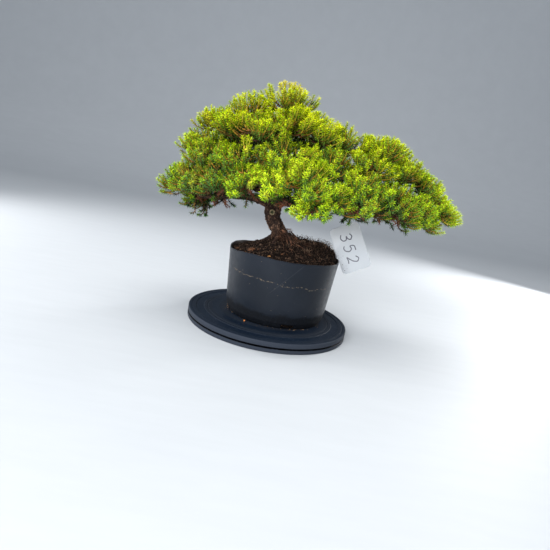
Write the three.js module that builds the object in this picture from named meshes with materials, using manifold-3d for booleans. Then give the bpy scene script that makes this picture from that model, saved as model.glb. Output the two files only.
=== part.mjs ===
// Japanese garden juniper bonsai: a short curved trunk and a wide, dense, one-sided crown of needled
// sprays, standing in a cut-down black nursery pot with a plant label, on a low two-disc turntable.
// Millimetres, +Z up. The origin is the centre of the turntable's underside, X runs along the crown.
import * as THREE from "three";
import { mergeVertices } from "three/addons/utils/BufferGeometryUtils.js";
import Module from "manifold-3d";

const wasm = await Module();
wasm.setup();

// Driving dimensions.
const FIT_GAP = 0.3; // clearance between pieces that touch in life
const DISC_RADIUS = 100;
const BASE_HEIGHT = 5;
const DISC_GAP = 1;
const TOP_HEIGHT = 6;
const TABLE_TOP = BASE_HEIGHT + DISC_GAP + TOP_HEIGHT;
const DISC_SIDES = 28;
const RACE_INNER = 65.5;
const RACE_OUTER = 74.5;
const RACE_FLOOR = 3;
const SPINDLE_RADIUS = 6;
const SPINDLE_FLOOR = 2;

const POT_X = 7;
const POT_Y = 4;
const POT_HEIGHT = 81;
const POT_RIM = TABLE_TOP + POT_HEIGHT;
const POT_WALL = 1.4;
const POT_FLOOR = 2;
const POT_SIDES = 32;
const HOLE_COUNT = 4;
const HOLE_WIDTH = 16;
const HOLE_HEIGHT = 5;
const HOLE_FIRST_DEG = -73;

const SOIL_EDGE_DROP = 3.5; // how far the soil meets the wall below the rim
const SOIL_MOUND = 19.5; // how high the mound round the trunk stands
const SOIL_RIGHT = 16; // and the one to the right of it
const SOIL_SIDES = 24;
const SOIL_STEPS = [0.3, 0.56, 0.78, 0.92, 1]; // its rings, as shares of the way out

const LABEL_HEAD = [37.2, 59.5]; // along the stem, across it
const LABEL_CORNER = 5;
const LABEL_THICKNESS = 0.8;
const LABEL_STEM = 54;
const LABEL_NECK = 12;
const LABEL_POINT = 5;
const LABEL_TILT_DEG = 29.7; // how far the stem's line rises to the right
const LABEL_AT = [70.8, 10, 101.4]; // where the stem meets the head

const NEEDLE_REACH = 4.9; // how far a needle's tip stands from its shoot's axis
const NEEDLE_FORWARD = 4.2; // how far the tip leans on along the shoot
const SHOOT_CORE = 1.15;
const WHORL_STEP = 4.8;
const WHORLS = 3;
const SHOOTS_IN_SPRAY = 16; // the full plant's count, of which the solid takes the spread-out few
const SOLID_RING = 4; // outer shoots kept in a spray's solid, beside its middle one
const LARGE_REACH = 41; // a spray of less reach keeps one outer shoot fewer
const CANDIDATES = 5; // how many neighbouring shoots may stand in for one that isn't clear
const TWIG_STRAIGHT = 6;
const TWIG_GAP = 0.4;
const HEART_HEIGHT = 140; // the sprays fan out from the crown's heart at this height
const FAN = 1.3; // how far a spray's outermost shoots open beyond its fan angle
const LIFT = 0.12; // how far, by its reach, a spray's sideways shoots rise
const UPTURN = 0.5; // how far a shoot's end turns from its own direction to straight up
const GOLDEN_ANGLE = Math.PI * (3 - Math.sqrt(5));

const COLOURS = {
  disc: { color: 0x20242c, roughness: 0.42 },
  steel: { color: 0x9a9da2, roughness: 0.35, metalness: 0.9 },
  pot: { color: 0x2c3036, roughness: 0.45 },
  soil: { color: 0x2a1c14, roughness: 0.95 },
  bark: { color: 0x5a4436, roughness: 0.9 },
  needle: { color: 0x86a81e, roughness: 0.6 },
  label: { color: 0xe3e6ea, roughness: 0.4 },
};

// Each spray: the point its middle shoot reaches, its reach from the twig's end, and its fan's half angle.
const SPRAYS = {
  apex: [-20, 8, 291, 44, 45],
  apex_right: [0, 0, 270, 37, 42],
  crown_left: [-66, 8, 274, 44, 43],
  crown_front: [-42, -36, 250, 42, 46],
  shoulder_left: [-95, 2, 252, 39, 44],
  side_left: [-112, -8, 224, 37, 46],
  left_tip: [-151, -4, 169, 34, 44],
  left_hanging: [-121, 24, 141, 27, 42],
  shoulder_right: [55, 0, 256, 42, 48],
  right_crown: [103, 0, 254, 42, 47],
  right_upper: [139, 0, 230, 37, 46],
  right_mid: [173, 4, 211, 34, 46],
  right_tip: [195, -4, 185, 28, 38],
  right_low: [178, 10, 175, 28, 40],
  brow_top: [16, -90, 202, 40, 48],
  brow_left: [-15, -82, 192, 34, 46],
  brow_right: [50, -82, 185, 36, 48],
  brow_low: [30, -92, 172, 30, 45],
  front_left_upper: [-60, -52, 214, 42, 48],
  front_left: [-90, -58, 188, 38, 48],
  front_left_low: [-54, -72, 188, 32, 46],
  front_mid: [-8, -60, 226, 44, 48],
  front_right_upper: [44, -46, 226, 42, 48],
  front_right: [86, -52, 208, 40, 48],
  front_right_far: [128, -44, 198, 40, 48],
  front_right_low: [92, -66, 186, 34, 46],
  far_right_low: [140, -38, 185, 34, 46],
  far_left: [-124, -42, 179, 36, 48],
  far_left_upper: [-104, -36, 210, 36, 48],
  inner_crown: [24, -24, 259, 40, 48],
  apex_front: [-12, -26, 262, 40, 48],
  inner_left: [-72, -22, 248, 38, 48],
  inner_front: [-30, -48, 200, 34, 48],
  right_saddle: [92, -26, 232, 38, 48],
  right_edge: [168, -26, 184, 32, 43],
  back_crown: [-30, 54, 252, 44, 50],
  back_left_upper: [-80, 52, 235, 42, 50],
  back_left: [-122, 44, 186, 40, 50],
  back_left_low: [-76, 76, 184, 40, 48],
  back_mid: [-22, 80, 206, 42, 48],
  back_right_upper: [32, 56, 243, 44, 50],
  back_right_low: [34, 84, 180, 40, 48],
  back_right: [84, 60, 214, 44, 50],
  back_far_right: [130, 46, 196, 40, 50],
  back_far_low: [90, 76, 174, 36, 46],
  back_right_tip: [155, 38, 181, 34, 46],
};

// Trunk, roots and branches as points with a radius: [x, y, z, radius].
const TRUNK = [
  [8, 5, 80, 9],
  [6, 4, 93, 10],
  [3, 3, 105, 10.5],
  [-4, 2, 115, 9.6],
  [-11, 1, 125, 9.4],
  [-16.7, 1, 137, 10.4],
  [-16, 3, 148, 9.8],
  [-12, 5, 160, 8.6],
  [-13, 7, 177, 7],
  [-18, 8, 195, 5.4],
  [-18, 8, 214, 3.8],
  [-22, 8, 232, 2.4],
];
const ROOTS = [
  [
    [-2, -3, 118, 4.2],
    [7, -7, 113, 3.2],
    [14, -9, 107.5, 2.6],
    [21, -13, 100, 2.2],
    [26, -17, 92, 1.8],
  ],
  [
    [-3, -4, 114, 4],
    [-6, -13, 107, 3],
    [-10, -22, 97, 2.2],
  ],
  [
    [-6, 3, 113, 4],
    [-20, 4, 102.5, 3],
    [-36, 6, 92, 2.2],
  ],
  [
    [2, 6, 113, 5],
    [18, 18, 107, 3.8],
    [34, 26, 96, 2.4],
  ],
  [
    [-2, 8, 112, 5],
    [-5, 24, 103, 3.6],
    [-9, 38, 92, 2.2],
  ],
];
const BRANCHES = {
  left_low: [
    [-17, 1, 145, 5.5],
    [-42, -4, 150, 4.6],
    [-76, -8, 147, 3.6],
    [-98, -7, 143, 2.8],
    [-112, -5, 140, 2.2],
  ],
  right_low: [
    [-13, 4, 151, 6],
    [22, -6, 158, 5.2],
    [66, -8, 163, 4.4],
    [112, -4, 164, 3.4],
    [150, 0, 158, 2.6],
    [168, 0, 157, 2],
  ],
  brow: [
    [-15, 2, 150, 5],
    [2, -26, 154, 4],
    [14, -46, 150, 3.2],
    [18, -58, 149, 2.4],
  ],
  front_left: [
    [-14, 3, 154, 4.6],
    [-38, -24, 162, 3.6],
    [-62, -38, 162, 2.8],
  ],
  front_right: [
    [30, -6, 159, 4.2],
    [54, -32, 164, 3.4],
    [84, -40, 166, 2.6],
  ],
  left_high: [
    [-13, 7, 172, 4.6],
    [-48, 4, 188, 3.8],
    [-88, -2, 198, 2.8],
  ],
  right_high: [
    [-13, 7, 178, 4.8],
    [24, 4, 192, 4],
    [66, 0, 200, 3.2],
    [104, 2, 196, 2.4],
  ],
  back_left: [
    [-13, 6, 166, 4.4],
    [-44, 32, 176, 3.6],
    [-74, 44, 176, 2.6],
  ],
  back_right: [
    [-12, 6, 168, 4.6],
    [18, 36, 176, 3.8],
    [56, 46, 168, 3],
    [94, 42, 160, 2.2],
  ],
};

// A repeatable draw between 0 and 1.
function drawsFrom(seed) {
  const modulus = 2147483647;
  let state = (seed * 7919 + 17) % modulus;
  return () => {
    state = (state * 16807) % modulus;
    return state / modulus;
  };
}

const vector = (x, y, z) => new THREE.Vector3(x, y, z);
const radians = (degrees) => (degrees * Math.PI) / 180;

// A closed solid from any three.js geometry.
function solidOf(geometry) {
  const plain = geometry.index ? geometry.toNonIndexed() : geometry.clone();
  plain.deleteAttribute("normal");
  plain.deleteAttribute("uv");
  const merged = mergeVertices(plain, 1e-4);
  return new wasm.Manifold(
    new wasm.Mesh({
      numProp: 3,
      vertProperties: new Float32Array(merged.attributes.position.array),
      triVerts: new Uint32Array(merged.index.array),
    })
  );
}

function geometryOf(solid) {
  const mesh = solid.getMesh();
  const points = new Float32Array(mesh.numVert * 3);
  for (let i = 0; i < mesh.numVert; i++) {
    points.set(mesh.vertProperties.subarray(i * mesh.numProp, i * mesh.numProp + 3), i * 3);
  }
  const geometry = new THREE.BufferGeometry();
  geometry.setAttribute("position", new THREE.BufferAttribute(points, 3));
  geometry.setIndex(new THREE.BufferAttribute(mesh.triVerts, 1));
  const flat = geometry.toNonIndexed();
  flat.computeVertexNormals();
  return flat;
}

// The largest body of a solid, without the scraps a cut may leave.
function mainBody(solid) {
  return solid.decompose().sort((a, b) => b.volume() - a.volume())[0];
}

function unionOf(solids) {
  return solids.reduce((sum, solid) => sum.add(solid));
}

// A closed skin over rings of points: all rings have the same count, in order along the piece.
// With splitAt, each quad is split so that the raised points never share an edge.
function skinGeometry(rings, startPoint, endPoint, isRaised) {
  const count = rings[0].length;
  const points = rings.flat().flatMap((p) => [p.x, p.y, p.z]);
  points.push(startPoint.x, startPoint.y, startPoint.z, endPoint.x, endPoint.y, endPoint.z);
  const start = rings.length * count;
  const end = start + 1;
  const faces = [];
  const last = (rings.length - 1) * count;
  for (let k = 0; k < count; k++) {
    const next = (k + 1) % count;
    faces.push(start, next, k);
    faces.push(end, last + k, last + next);
    for (let j = 0; j + 1 < rings.length; j++) {
      const a = j * count + k;
      const b = j * count + next;
      const c = (j + 1) * count + next;
      const d = (j + 1) * count + k;
      if (isRaised && isRaised(j, k)) {
        faces.push(a, b, d, b, c, d);
      } else {
        faces.push(a, b, c, a, c, d);
      }
    }
  }
  const geometry = new THREE.BufferGeometry();
  geometry.setAttribute("position", new THREE.BufferAttribute(new Float32Array(points), 3));
  geometry.setIndex(faces);
  return geometry;
}

// Points along a path with a steady pair of side directions at each.
function framesAlong(path) {
  const frames = [];
  let side = null;
  path.forEach((point, i) => {
    const before = path[Math.max(0, i - 1)];
    const after = path[Math.min(path.length - 1, i + 1)];
    const along = vector(after.x - before.x, after.y - before.y, after.z - before.z).normalize();
    if (!side) {
      side = Math.abs(along.z) < 0.9 ? vector(0, 0, 1) : vector(1, 0, 0);
    }
    side = side.clone().addScaledVector(along, -side.dot(along)).normalize();
    frames.push({ point, along, side, across: along.clone().cross(side) });
  });
  return frames;
}

function ringAt(frame, radii, turn = 0, forward = () => 0) {
  return radii.map((radius, k) => {
    const angle = turn + (2 * Math.PI * k) / radii.length;
    return frame.point
      .clone()
      .addScaledVector(frame.side, radius * Math.cos(angle))
      .addScaledVector(frame.across, radius * Math.sin(angle))
      .addScaledVector(frame.along, forward(k));
  });
}

// A tapered limb through points with a radius each, smoothed, with shallow ridges of bark.
function limb(points, { sides, steps, grow = 0, ridge = 0 }) {
  const curve = new THREE.CatmullRomCurve3(points.map((p) => vector(p[0], p[1], p[2])), false, "centripetal");
  const path = [];
  const radii = [];
  for (let i = 0; i <= steps; i++) {
    const share = i / steps;
    path.push(curve.getPoint(share));
    const at = share * (points.length - 1);
    const low = Math.min(Math.floor(at), points.length - 2);
    radii.push(THREE.MathUtils.lerp(points[low][3], points[low + 1][3], at - low));
  }
  const rings = framesAlong(path).map((frame, i) => {
    const around = Array.from({ length: sides }, (_, k) => {
      const angle = (2 * Math.PI * k) / sides;
      return radii[i] * (1 + ridge * Math.sin(3 * angle + i * 0.7) * Math.cos(i * 1.9)) + grow;
    });
    return ringAt(frame, around);
  });
  const frames = framesAlong(path);
  const start = path[0].clone().addScaledVector(frames[0].along, -grow);
  const end = path[steps].clone().addScaledVector(frames[steps].along, grow);
  return solidOf(skinGeometry(rings, start, end));
}

// A turned piece whose profile, from axis to axis, may change with the angle.
function turned(profileAt, sides) {
  const columns = Array.from({ length: sides }, (_, k) => profileAt((2 * Math.PI * k) / sides));
  const rows = columns[0].length;
  const rings = [];
  for (let j = 1; j < rows - 1; j++) {
    rings.push(
      columns.map((column, k) => {
        const angle = (2 * Math.PI * k) / sides;
        return vector(column[j][0] * Math.cos(angle), column[j][0] * Math.sin(angle), column[j][1]);
      })
    );
  }
  const first = vector(0, 0, columns[0][0][1]);
  const final = vector(0, 0, columns[0][rows - 1][1]);
  return solidOf(skinGeometry(rings, first, final));
}

function lathe(profile, sides) {
  const points = profile.map(([r, z]) => new THREE.Vector2(r, z));
  const geometry = new THREE.LatheGeometry(points, sides);
  geometry.rotateX(Math.PI / 2);
  return geometry;
}

// Turntable: the base disc, with a groove for the bearing ring and a socket for the spindle.
function turntableBase() {
  const bevel = 1;
  return lathe(
    [
      [0, 0],
      [DISC_RADIUS, 0],
      [DISC_RADIUS, BASE_HEIGHT - bevel],
      [DISC_RADIUS - bevel, BASE_HEIGHT],
      [RACE_OUTER, BASE_HEIGHT],
      [RACE_OUTER, RACE_FLOOR],
      [RACE_INNER, RACE_FLOOR],
      [RACE_INNER, BASE_HEIGHT],
      [SPINDLE_RADIUS + 2 * FIT_GAP, BASE_HEIGHT],
      [SPINDLE_RADIUS + 2 * FIT_GAP, SPINDLE_FLOOR],
      [0, SPINDLE_FLOOR],
    ],
    DISC_SIDES
  );
}

// The ring of the ball bearing, lying in the groove just under the top disc.
function bearingRing() {
  const inner = RACE_INNER + 2 * FIT_GAP;
  const outer = RACE_OUTER - 2 * FIT_GAP;
  const low = RACE_FLOOR + FIT_GAP;
  const high = BASE_HEIGHT + DISC_GAP - FIT_GAP;
  return lathe(
    [
      [inner, low],
      [outer, low],
      [outer, high],
      [inner, high],
      [inner, low],
    ],
    DISC_SIDES
  );
}

// The top disc, with two broad shallow rings turned into its face and a spindle below.
function turntableTop() {
  const under = BASE_HEIGHT + DISC_GAP;
  const bevel = 1;
  const relief = 0.6;
  return lathe(
    [
      [0, SPINDLE_FLOOR + FIT_GAP],
      [SPINDLE_RADIUS, SPINDLE_FLOOR + FIT_GAP],
      [SPINDLE_RADIUS, under],
      [DISC_RADIUS, under],
      [DISC_RADIUS, TABLE_TOP - bevel],
      [DISC_RADIUS - bevel, TABLE_TOP],
      [91, TABLE_TOP],
      [90, TABLE_TOP - relief],
      [82, TABLE_TOP - relief],
      [81, TABLE_TOP],
      [0, TABLE_TOP],
    ],
    DISC_SIDES
  );
}

// The pot's outside radius at a height above the turntable.
function potRadius(height) {
  const foot = 57.5;
  if (height < 1) {
    return foot + 1.5 * height;
  }
  if (height < 7) {
    return foot + 1.5 + (2.6 * (height - 1)) / 6;
  }
  if (height < 16) {
    return foot + 4.1 + (1.7 * (height - 7)) / 9;
  }
  return foot + 5.8 + 0.074 * (height - 16);
}

// The rim was cut by hand, so its height wanders.
function rimHeight(angle) {
  const dip = Math.cos(angle - radians(-158));
  return POT_HEIGHT - 4.5 * Math.max(0, dip) ** 4 + 1.1 * Math.sin(2 * angle + 0.4) + 0.5 * Math.sin(5 * angle);
}

// Where the soil meets the wall: close under the rim, and level with it in front.
function soilEdge(angle) {
  const front = Math.max(0, Math.cos(angle - radians(-85)));
  return rimHeight(angle) - SOIL_EDGE_DROP + 2 * front;
}

function potBody() {
  const heights = [0, 1, 7, 16];
  const wall = turned((angle) => {
    const rim = rimHeight(angle);
    const outside = [...heights, rim].map((h) => [potRadius(h), h]);
    const inside = [rim, 16, POT_FLOOR].map((h) => [potRadius(h) - POT_WALL, h]);
    return [[0, 0], ...outside, ...inside, [0, POT_FLOOR]];
  }, POT_SIDES);
  const slots = Array.from({ length: HOLE_COUNT }, (_, i) => {
    const angle = radians(HOLE_FIRST_DEG) + (2 * Math.PI * i) / HOLE_COUNT;
    const slot = new THREE.BoxGeometry(10, HOLE_WIDTH, HOLE_HEIGHT);
    slot.translate(potRadius(3) - 1, 0, 1.2 + HOLE_HEIGHT / 2);
    slot.rotateZ(angle);
    return solidOf(slot);
  });
  return slots.reduce((pot, slot) => pot.subtract(slot), wall).translate([POT_X, POT_Y, TABLE_TOP]);
}

// The root ball's top: a mound round the trunk, a second one behind the label, broken up by lumps.
function soilHeight(angle, share) {
  const radius = share * (potRadius(78) - POT_WALL);
  const x = radius * Math.cos(angle);
  const y = radius * Math.sin(angle);
  const edge = soilEdge(angle);
  const level = edge * share ** 0.5 + (POT_HEIGHT - SOIL_EDGE_DROP) * (1 - share ** 0.5);
  const mound = SOIL_MOUND * Math.exp(-(((x + 6) / 40) ** 2) - (y / 42) ** 2) * (1 - share ** 6);
  const right = SOIL_RIGHT * Math.exp(-(((x - 48) / 32) ** 2) - ((y - 8) / 30) ** 2) * (1 - share ** 20);
  const lumps = 1.4 * Math.sin(x * 0.31 + 2 * Math.sin(y * 0.23)) * Math.cos(y * 0.37 + x * 0.11) * (1 - share ** 4);
  return level + mound + right + lumps;
}

function soilBody() {
  const floor = POT_FLOOR + FIT_GAP;
  const clear = POT_WALL + FIT_GAP;
  return turned((angle) => {
    const top = [];
    for (const share of [...SOIL_STEPS].reverse()) {
      top.push([share * (potRadius(78) - clear), soilHeight(angle, share)]);
    }
    const edge = soilEdge(angle);
    const side = [floor, 16].map((h) => [potRadius(h) - clear, h]);
    top[0] = [potRadius(edge) - clear, edge];
    return [[0, floor], ...side, ...top, [0, soilHeight(0, 0)]];
  }, SOIL_SIDES).translate([POT_X, POT_Y, TABLE_TOP]);
}

// The label's outline: a head with round corners and a stem that narrows to a blunt point.
function labelSolid(grow) {
  const [length, width] = [LABEL_HEAD[0] + grow, LABEL_HEAD[1] / 2 + grow];
  const corner = LABEL_CORNER;
  const shape = new THREE.Shape();
  shape.moveTo(-grow, -width + corner);
  shape.absarc(corner - grow, -width + corner, corner, Math.PI, 1.5 * Math.PI);
  shape.absarc(length - corner, -width + corner, corner, 1.5 * Math.PI, 2 * Math.PI);
  shape.absarc(length - corner, width - corner, corner, 0, 0.5 * Math.PI);
  shape.absarc(corner - grow, width - corner, corner, 0.5 * Math.PI, Math.PI);
  shape.lineTo(-grow, LABEL_NECK / 2 + grow);
  shape.lineTo(-LABEL_STEM * 0.7, LABEL_NECK / 2 - 1 + grow);
  shape.lineTo(-LABEL_STEM - grow, LABEL_POINT / 2 + grow);
  shape.lineTo(-LABEL_STEM - grow, -LABEL_POINT / 2 - grow);
  shape.lineTo(-LABEL_STEM * 0.7, -LABEL_NECK / 2 + 1 - grow);
  shape.lineTo(-grow, -LABEL_NECK / 2 - grow);
  const depth = LABEL_THICKNESS + 2 * grow;
  const plate = new THREE.ExtrudeGeometry(shape, { depth, bevelEnabled: false, curveSegments: 4 });
  plate.translate(0, 0, -depth / 2);
  plate.rotateX(Math.PI / 2);
  plate.rotateY(-radians(LABEL_TILT_DEG));
  plate.translate(...LABEL_AT);
  return solidOf(plate);
}

// Where each spray grows: its outward direction, and the twig's end that carries it.
function sprayPlan([x, y, z, reach, spread], index) {
  const tip = vector(x, y, z);
  const heart = vector(x * 0.72, y * 0.55, HEART_HEIGHT);
  const out = tip.clone().sub(heart).normalize();
  const base = tip.clone().addScaledVector(out, -reach);
  const side = vector(-out.y, out.x, 0);
  if (side.lengthSq() < 1e-4) {
    side.set(1, 0, 0);
  }
  side.normalize();
  const across = out.clone().cross(side);
  return { base, out, side, across, reach, spread: radians(spread * FAN), seed: index + 1 };
}

// Every shoot of the living spray: where it leaves the stem, where it turns up and where it ends.
function shootsOf(plan) {
  const draw = drawsFrom(plan.seed);
  const shoots = [];
  for (let i = 0; i < SHOOTS_IN_SPRAY; i++) {
    const share = (i + 0.5) / SHOOTS_IN_SPRAY;
    const lean = plan.spread * Math.sqrt(share) + 0.1 * (draw() - 0.5);
    const around = GOLDEN_ANGLE * i + plan.seed + 0.5 * (draw() - 0.5);
    const length = plan.reach * (0.84 + 0.2 * draw());
    const direction = plan.out
      .clone()
      .multiplyScalar(Math.cos(lean))
      .addScaledVector(plan.side, Math.sin(lean) * Math.cos(around))
      .addScaledVector(plan.across, Math.sin(lean) * Math.sin(around));
    const tip = plan.base.clone().addScaledVector(direction, length);
    tip.z += LIFT * plan.reach * (1 - direction.z);
    const start = plan.base.clone().addScaledVector(plan.out, plan.reach * (0.3 - 0.22 * share));
    const heading = direction.clone().multiplyScalar(1 - UPTURN).add(vector(0, 0, UPTURN)).normalize();
    const turn = tip.clone().addScaledVector(heading, -0.6 * tip.distanceTo(start));
    shoots.push({ start, turn, tip, direction });
  }
  return shoots;
}

const shootCurve = (shoot) => new THREE.QuadraticBezierCurve3(shoot.start, shoot.turn, shoot.tip);

// A shoot's solid: a slim stem whose skin is raised into needles, a crossed pair at each whorl.
function shootSolid(shoot) {
  const curve = shootCurve(shoot);
  const length = curve.getLength();
  const tipPlace = length - NEEDLE_FORWARD;
  const places = [0];
  for (let j = WHORLS - 1; j >= 0; j--) {
    places.push(tipPlace - 0.8 - j * WHORL_STEP);
  }
  const path = places.map((place) => curve.getPointAt(THREE.MathUtils.clamp(place / length, 0, 1)));
  const raised = (j, k) => j > 0 && (j + k) % 2 === 0;
  const frames = framesAlong(path);
  const rings = frames.map((frame, j) => {
    const taper = j === WHORLS ? 0.72 : 1;
    const radii = [0, 1, 2, 3].map((k) => (raised(j, k) ? NEEDLE_REACH * taper : SHOOT_CORE));
    return ringAt(frame, radii, 0.4, (k) => (raised(j, k) ? NEEDLE_FORWARD * taper : 0));
  });
  return solidOf(skinGeometry(rings, path[0], shoot.tip, raised));
}

// The middle of a spray, where the shoots leave the twig: a small pointed burr.
function burrSolid(centre, radius, turn) {
  const geometry = new THREE.OctahedronGeometry(radius, 0);
  geometry.rotateX(turn);
  geometry.rotateZ(turn * 2.3);
  geometry.translate(centre.x, centre.y, centre.z);
  return solidOf(geometry);
}

// Distance between two straight pieces of stem.
function segmentDistance(a, b) {
  const first = new THREE.Line3(a.from, a.to);
  const pointOnA = vector(0, 0, 0);
  const pointOnB = vector(0, 0, 0);
  const second = new THREE.Line3(b.from, b.to);
  let nearest = Infinity;
  const samples = 6;
  for (let i = 0; i <= samples; i++) {
    first.at(i / samples, pointOnA);
    second.closestPointToPoint(pointOnA, true, pointOnB);
    nearest = Math.min(nearest, pointOnA.distanceTo(pointOnB));
    second.at(i / samples, pointOnB);
    first.closestPointToPoint(pointOnB, true, pointOnA);
    nearest = Math.min(nearest, pointOnA.distanceTo(pointOnB));
  }
  return nearest;
}

// The space a shoot's needles sweep, as two straight pieces with a radius.
function sweptBy(shoot, owner) {
  const curve = shootCurve(shoot);
  const points = [0, 0.5, 1].map((share) => curve.getPoint(share));
  const radius = NEEDLE_REACH + 0.2;
  return [
    { from: points[0], to: points[1], radius, owner },
    { from: points[1], to: points[2], radius, owner },
  ];
}

function isClear(pieces, others, owner) {
  const strangers = others.filter((other) => other.owner !== owner);
  return pieces.every((piece) =>
    strangers.every((other) => segmentDistance(piece, other) > piece.radius + other.radius + FIT_GAP)
  );
}

// The twig from the nearest branch to a spray, arriving along the spray's own direction.
function twigTo(plan) {
  const aim = plan.base.clone().addScaledVector(plan.out, -22);
  let best = null;
  for (const points of Object.values(BRANCHES).concat([TRUNK.slice(6)])) {
    const line = points.map((p) => vector(p[0], p[1], p[2]));
    for (let i = 0; i + 1 < line.length; i++) {
      const spot = new THREE.Line3(line[i], line[i + 1]).closestPointToPoint(aim, true, vector(0, 0, 0));
      const gap = spot.distanceTo(aim);
      if (!best || gap < best.gap) {
        best = { gap, spot, radius: points[i + 1][3] };
      }
    }
  }
  const arrival = plan.base.clone().addScaledVector(plan.out, -TWIG_STRAIGHT);
  const middle = best.spot
    .clone()
    .lerp(arrival, 0.5)
    .addScaledVector(plan.out, -0.15 * best.spot.distanceTo(arrival));
  const thick = Math.min(best.radius * 0.8, 2.2);
  return [
    [best.spot.x, best.spot.y, best.spot.z, thick],
    [middle.x, middle.y, middle.z, thick * 0.85],
    [arrival.x, arrival.y, arrival.z, 1.6],
    [plan.base.x, plan.base.y, plan.base.z, 1.4],
  ];
}

function spansOf(points, owner) {
  return points.slice(1).map((b, i) => {
    const a = points[i];
    return { from: vector(a[0], a[1], a[2]), to: vector(b[0], b[1], b[2]), radius: Math.max(a[3], b[3]), owner };
  });
}

// The short stem and burr at the root of a spray's shoots.
function burrOf(plan) {
  const foot = plan.base.clone().addScaledVector(plan.out, TWIG_GAP);
  const centre = plan.base.clone().addScaledVector(plan.out, plan.reach * 0.3);
  return { foot, centre, radius: plan.reach * 0.24 };
}

// The spray's solid: the end of its stem, its burr, and the shoots that are clear of all else.
function spraySolid(plan, owner, taken) {
  const shoots = shootsOf(plan);
  const { foot, centre, radius } = burrOf(plan);
  const stem = limb(
    [
      [foot.x, foot.y, foot.z, 1.4],
      [centre.x, centre.y, centre.z, 1.8],
    ],
    { sides: 4, steps: 1 }
  );
  const wanted = [plan.out];
  const ring = plan.reach < LARGE_REACH ? SOLID_RING - 1 : SOLID_RING;
  for (let k = 0; k < ring; k++) {
    const lean = plan.spread * 0.86;
    const around = plan.seed + (2 * Math.PI * k) / ring;
    wanted.push(
      plan.out
        .clone()
        .multiplyScalar(Math.cos(lean))
        .addScaledVector(plan.side, Math.sin(lean) * Math.cos(around))
        .addScaledVector(plan.across, Math.sin(lean) * Math.sin(around))
    );
  }
  const chosen = [];
  for (const direction of wanted) {
    const nearest = [...shoots].sort((a, b) => b.direction.dot(direction) - a.direction.dot(direction));
    const fit = nearest
      .slice(0, CANDIDATES)
      .find((shoot) => !chosen.includes(shoot) && isClear(sweptBy(shoot, owner), taken, owner));
    if (fit) {
      chosen.push(fit);
      taken.push(...sweptBy(fit, owner));
    }
  }
  return mainBody(unionOf([stem, burrSolid(centre, radius, plan.seed), ...chosen.map(shootSolid)]));
}

const scene = new THREE.Group();

function place(name, geometry, look) {
  const mesh = new THREE.Mesh(geometry, new THREE.MeshStandardMaterial(look));
  mesh.name = name;
  scene.add(mesh);
}

const plans = Object.values(SPRAYS).map(sprayPlan);
const twigs = plans.map(twigTo);

// The wood: trunk, roots, branches and twigs, grown as one.
const pruningScar = limb(
  [
    [-16.4, -5, 138, 3.9],
    [-16.6, -11.4, 138.4, 3.1],
  ],
  { sides: 8, steps: 1 }
);
const wood = mainBody(
  unionOf([
    limb(TRUNK, { sides: 10, steps: 13, ridge: 0.08 }),
    pruningScar,
    ...ROOTS.map((root) => limb(root, { sides: 5, steps: 4, ridge: 0.05 })),
    ...Object.values(BRANCHES).map((branch) => limb(branch, { sides: 5, steps: 4, ridge: 0.05 })),
    ...twigs.map((twig) => limb(twig, { sides: 3, steps: 3 })),
  ])
);
const woodRoom = unionOf([
  limb(TRUNK.slice(0, 4), { sides: 12, steps: 6, ridge: 0, grow: 1.4 }),
  ...ROOTS.map((root) => limb(root, { sides: 5, steps: 4, grow: FIT_GAP + 0.3, ridge: 0.05 })),
]);

// Sprays keep clear of the wood, of each other's stems and burrs, and of the shoots placed before.
const taken = Object.values(BRANCHES)
  .concat([TRUNK])
  .flatMap((points) => spansOf(points, -1));
plans.forEach((plan, owner) => {
  const { foot, centre, radius } = burrOf(plan);
  taken.push(...spansOf(twigs[owner], owner), { from: centre, to: centre, radius: radius * 0.9, owner });
  taken.push({ from: foot, to: centre, radius: 1.8, owner });
});

place("turntable_base", turntableBase(), COLOURS.disc);
place("bearing_ring", bearingRing(), COLOURS.steel);
place("turntable_top", turntableTop(), COLOURS.disc);
place("pot", geometryOf(potBody()), COLOURS.pot);
place("soil", geometryOf(mainBody(soilBody().subtract(woodRoom).subtract(labelSolid(FIT_GAP)))), COLOURS.soil);
place("trunk_and_branches", geometryOf(wood), COLOURS.bark);
place("plant_label", geometryOf(labelSolid(0)), COLOURS.label);
Object.keys(SPRAYS).forEach((name, i) => {
  place("spray_" + name, geometryOf(spraySolid(plans[i], i, taken)), COLOURS.needle);
});

export default scene;
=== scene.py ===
import itertools
import math

import bpy
import numpy as np
from mathutils import Euler, Matrix, Vector, noise


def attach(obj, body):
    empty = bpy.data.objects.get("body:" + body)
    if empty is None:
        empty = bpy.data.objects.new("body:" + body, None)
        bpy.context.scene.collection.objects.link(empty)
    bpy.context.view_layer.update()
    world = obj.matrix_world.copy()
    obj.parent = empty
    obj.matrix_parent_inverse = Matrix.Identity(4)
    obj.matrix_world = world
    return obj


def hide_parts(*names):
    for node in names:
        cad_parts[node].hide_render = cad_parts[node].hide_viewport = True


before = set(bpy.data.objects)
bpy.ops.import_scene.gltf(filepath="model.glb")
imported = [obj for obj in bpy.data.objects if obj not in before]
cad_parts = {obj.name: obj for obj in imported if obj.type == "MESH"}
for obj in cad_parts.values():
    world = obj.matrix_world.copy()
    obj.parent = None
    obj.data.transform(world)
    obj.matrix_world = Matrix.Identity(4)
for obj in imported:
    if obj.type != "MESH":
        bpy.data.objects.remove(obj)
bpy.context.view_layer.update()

# All sizes below are in millimetres, as in the frame, and become metres in mesh_piece().
MM = 0.001

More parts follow.
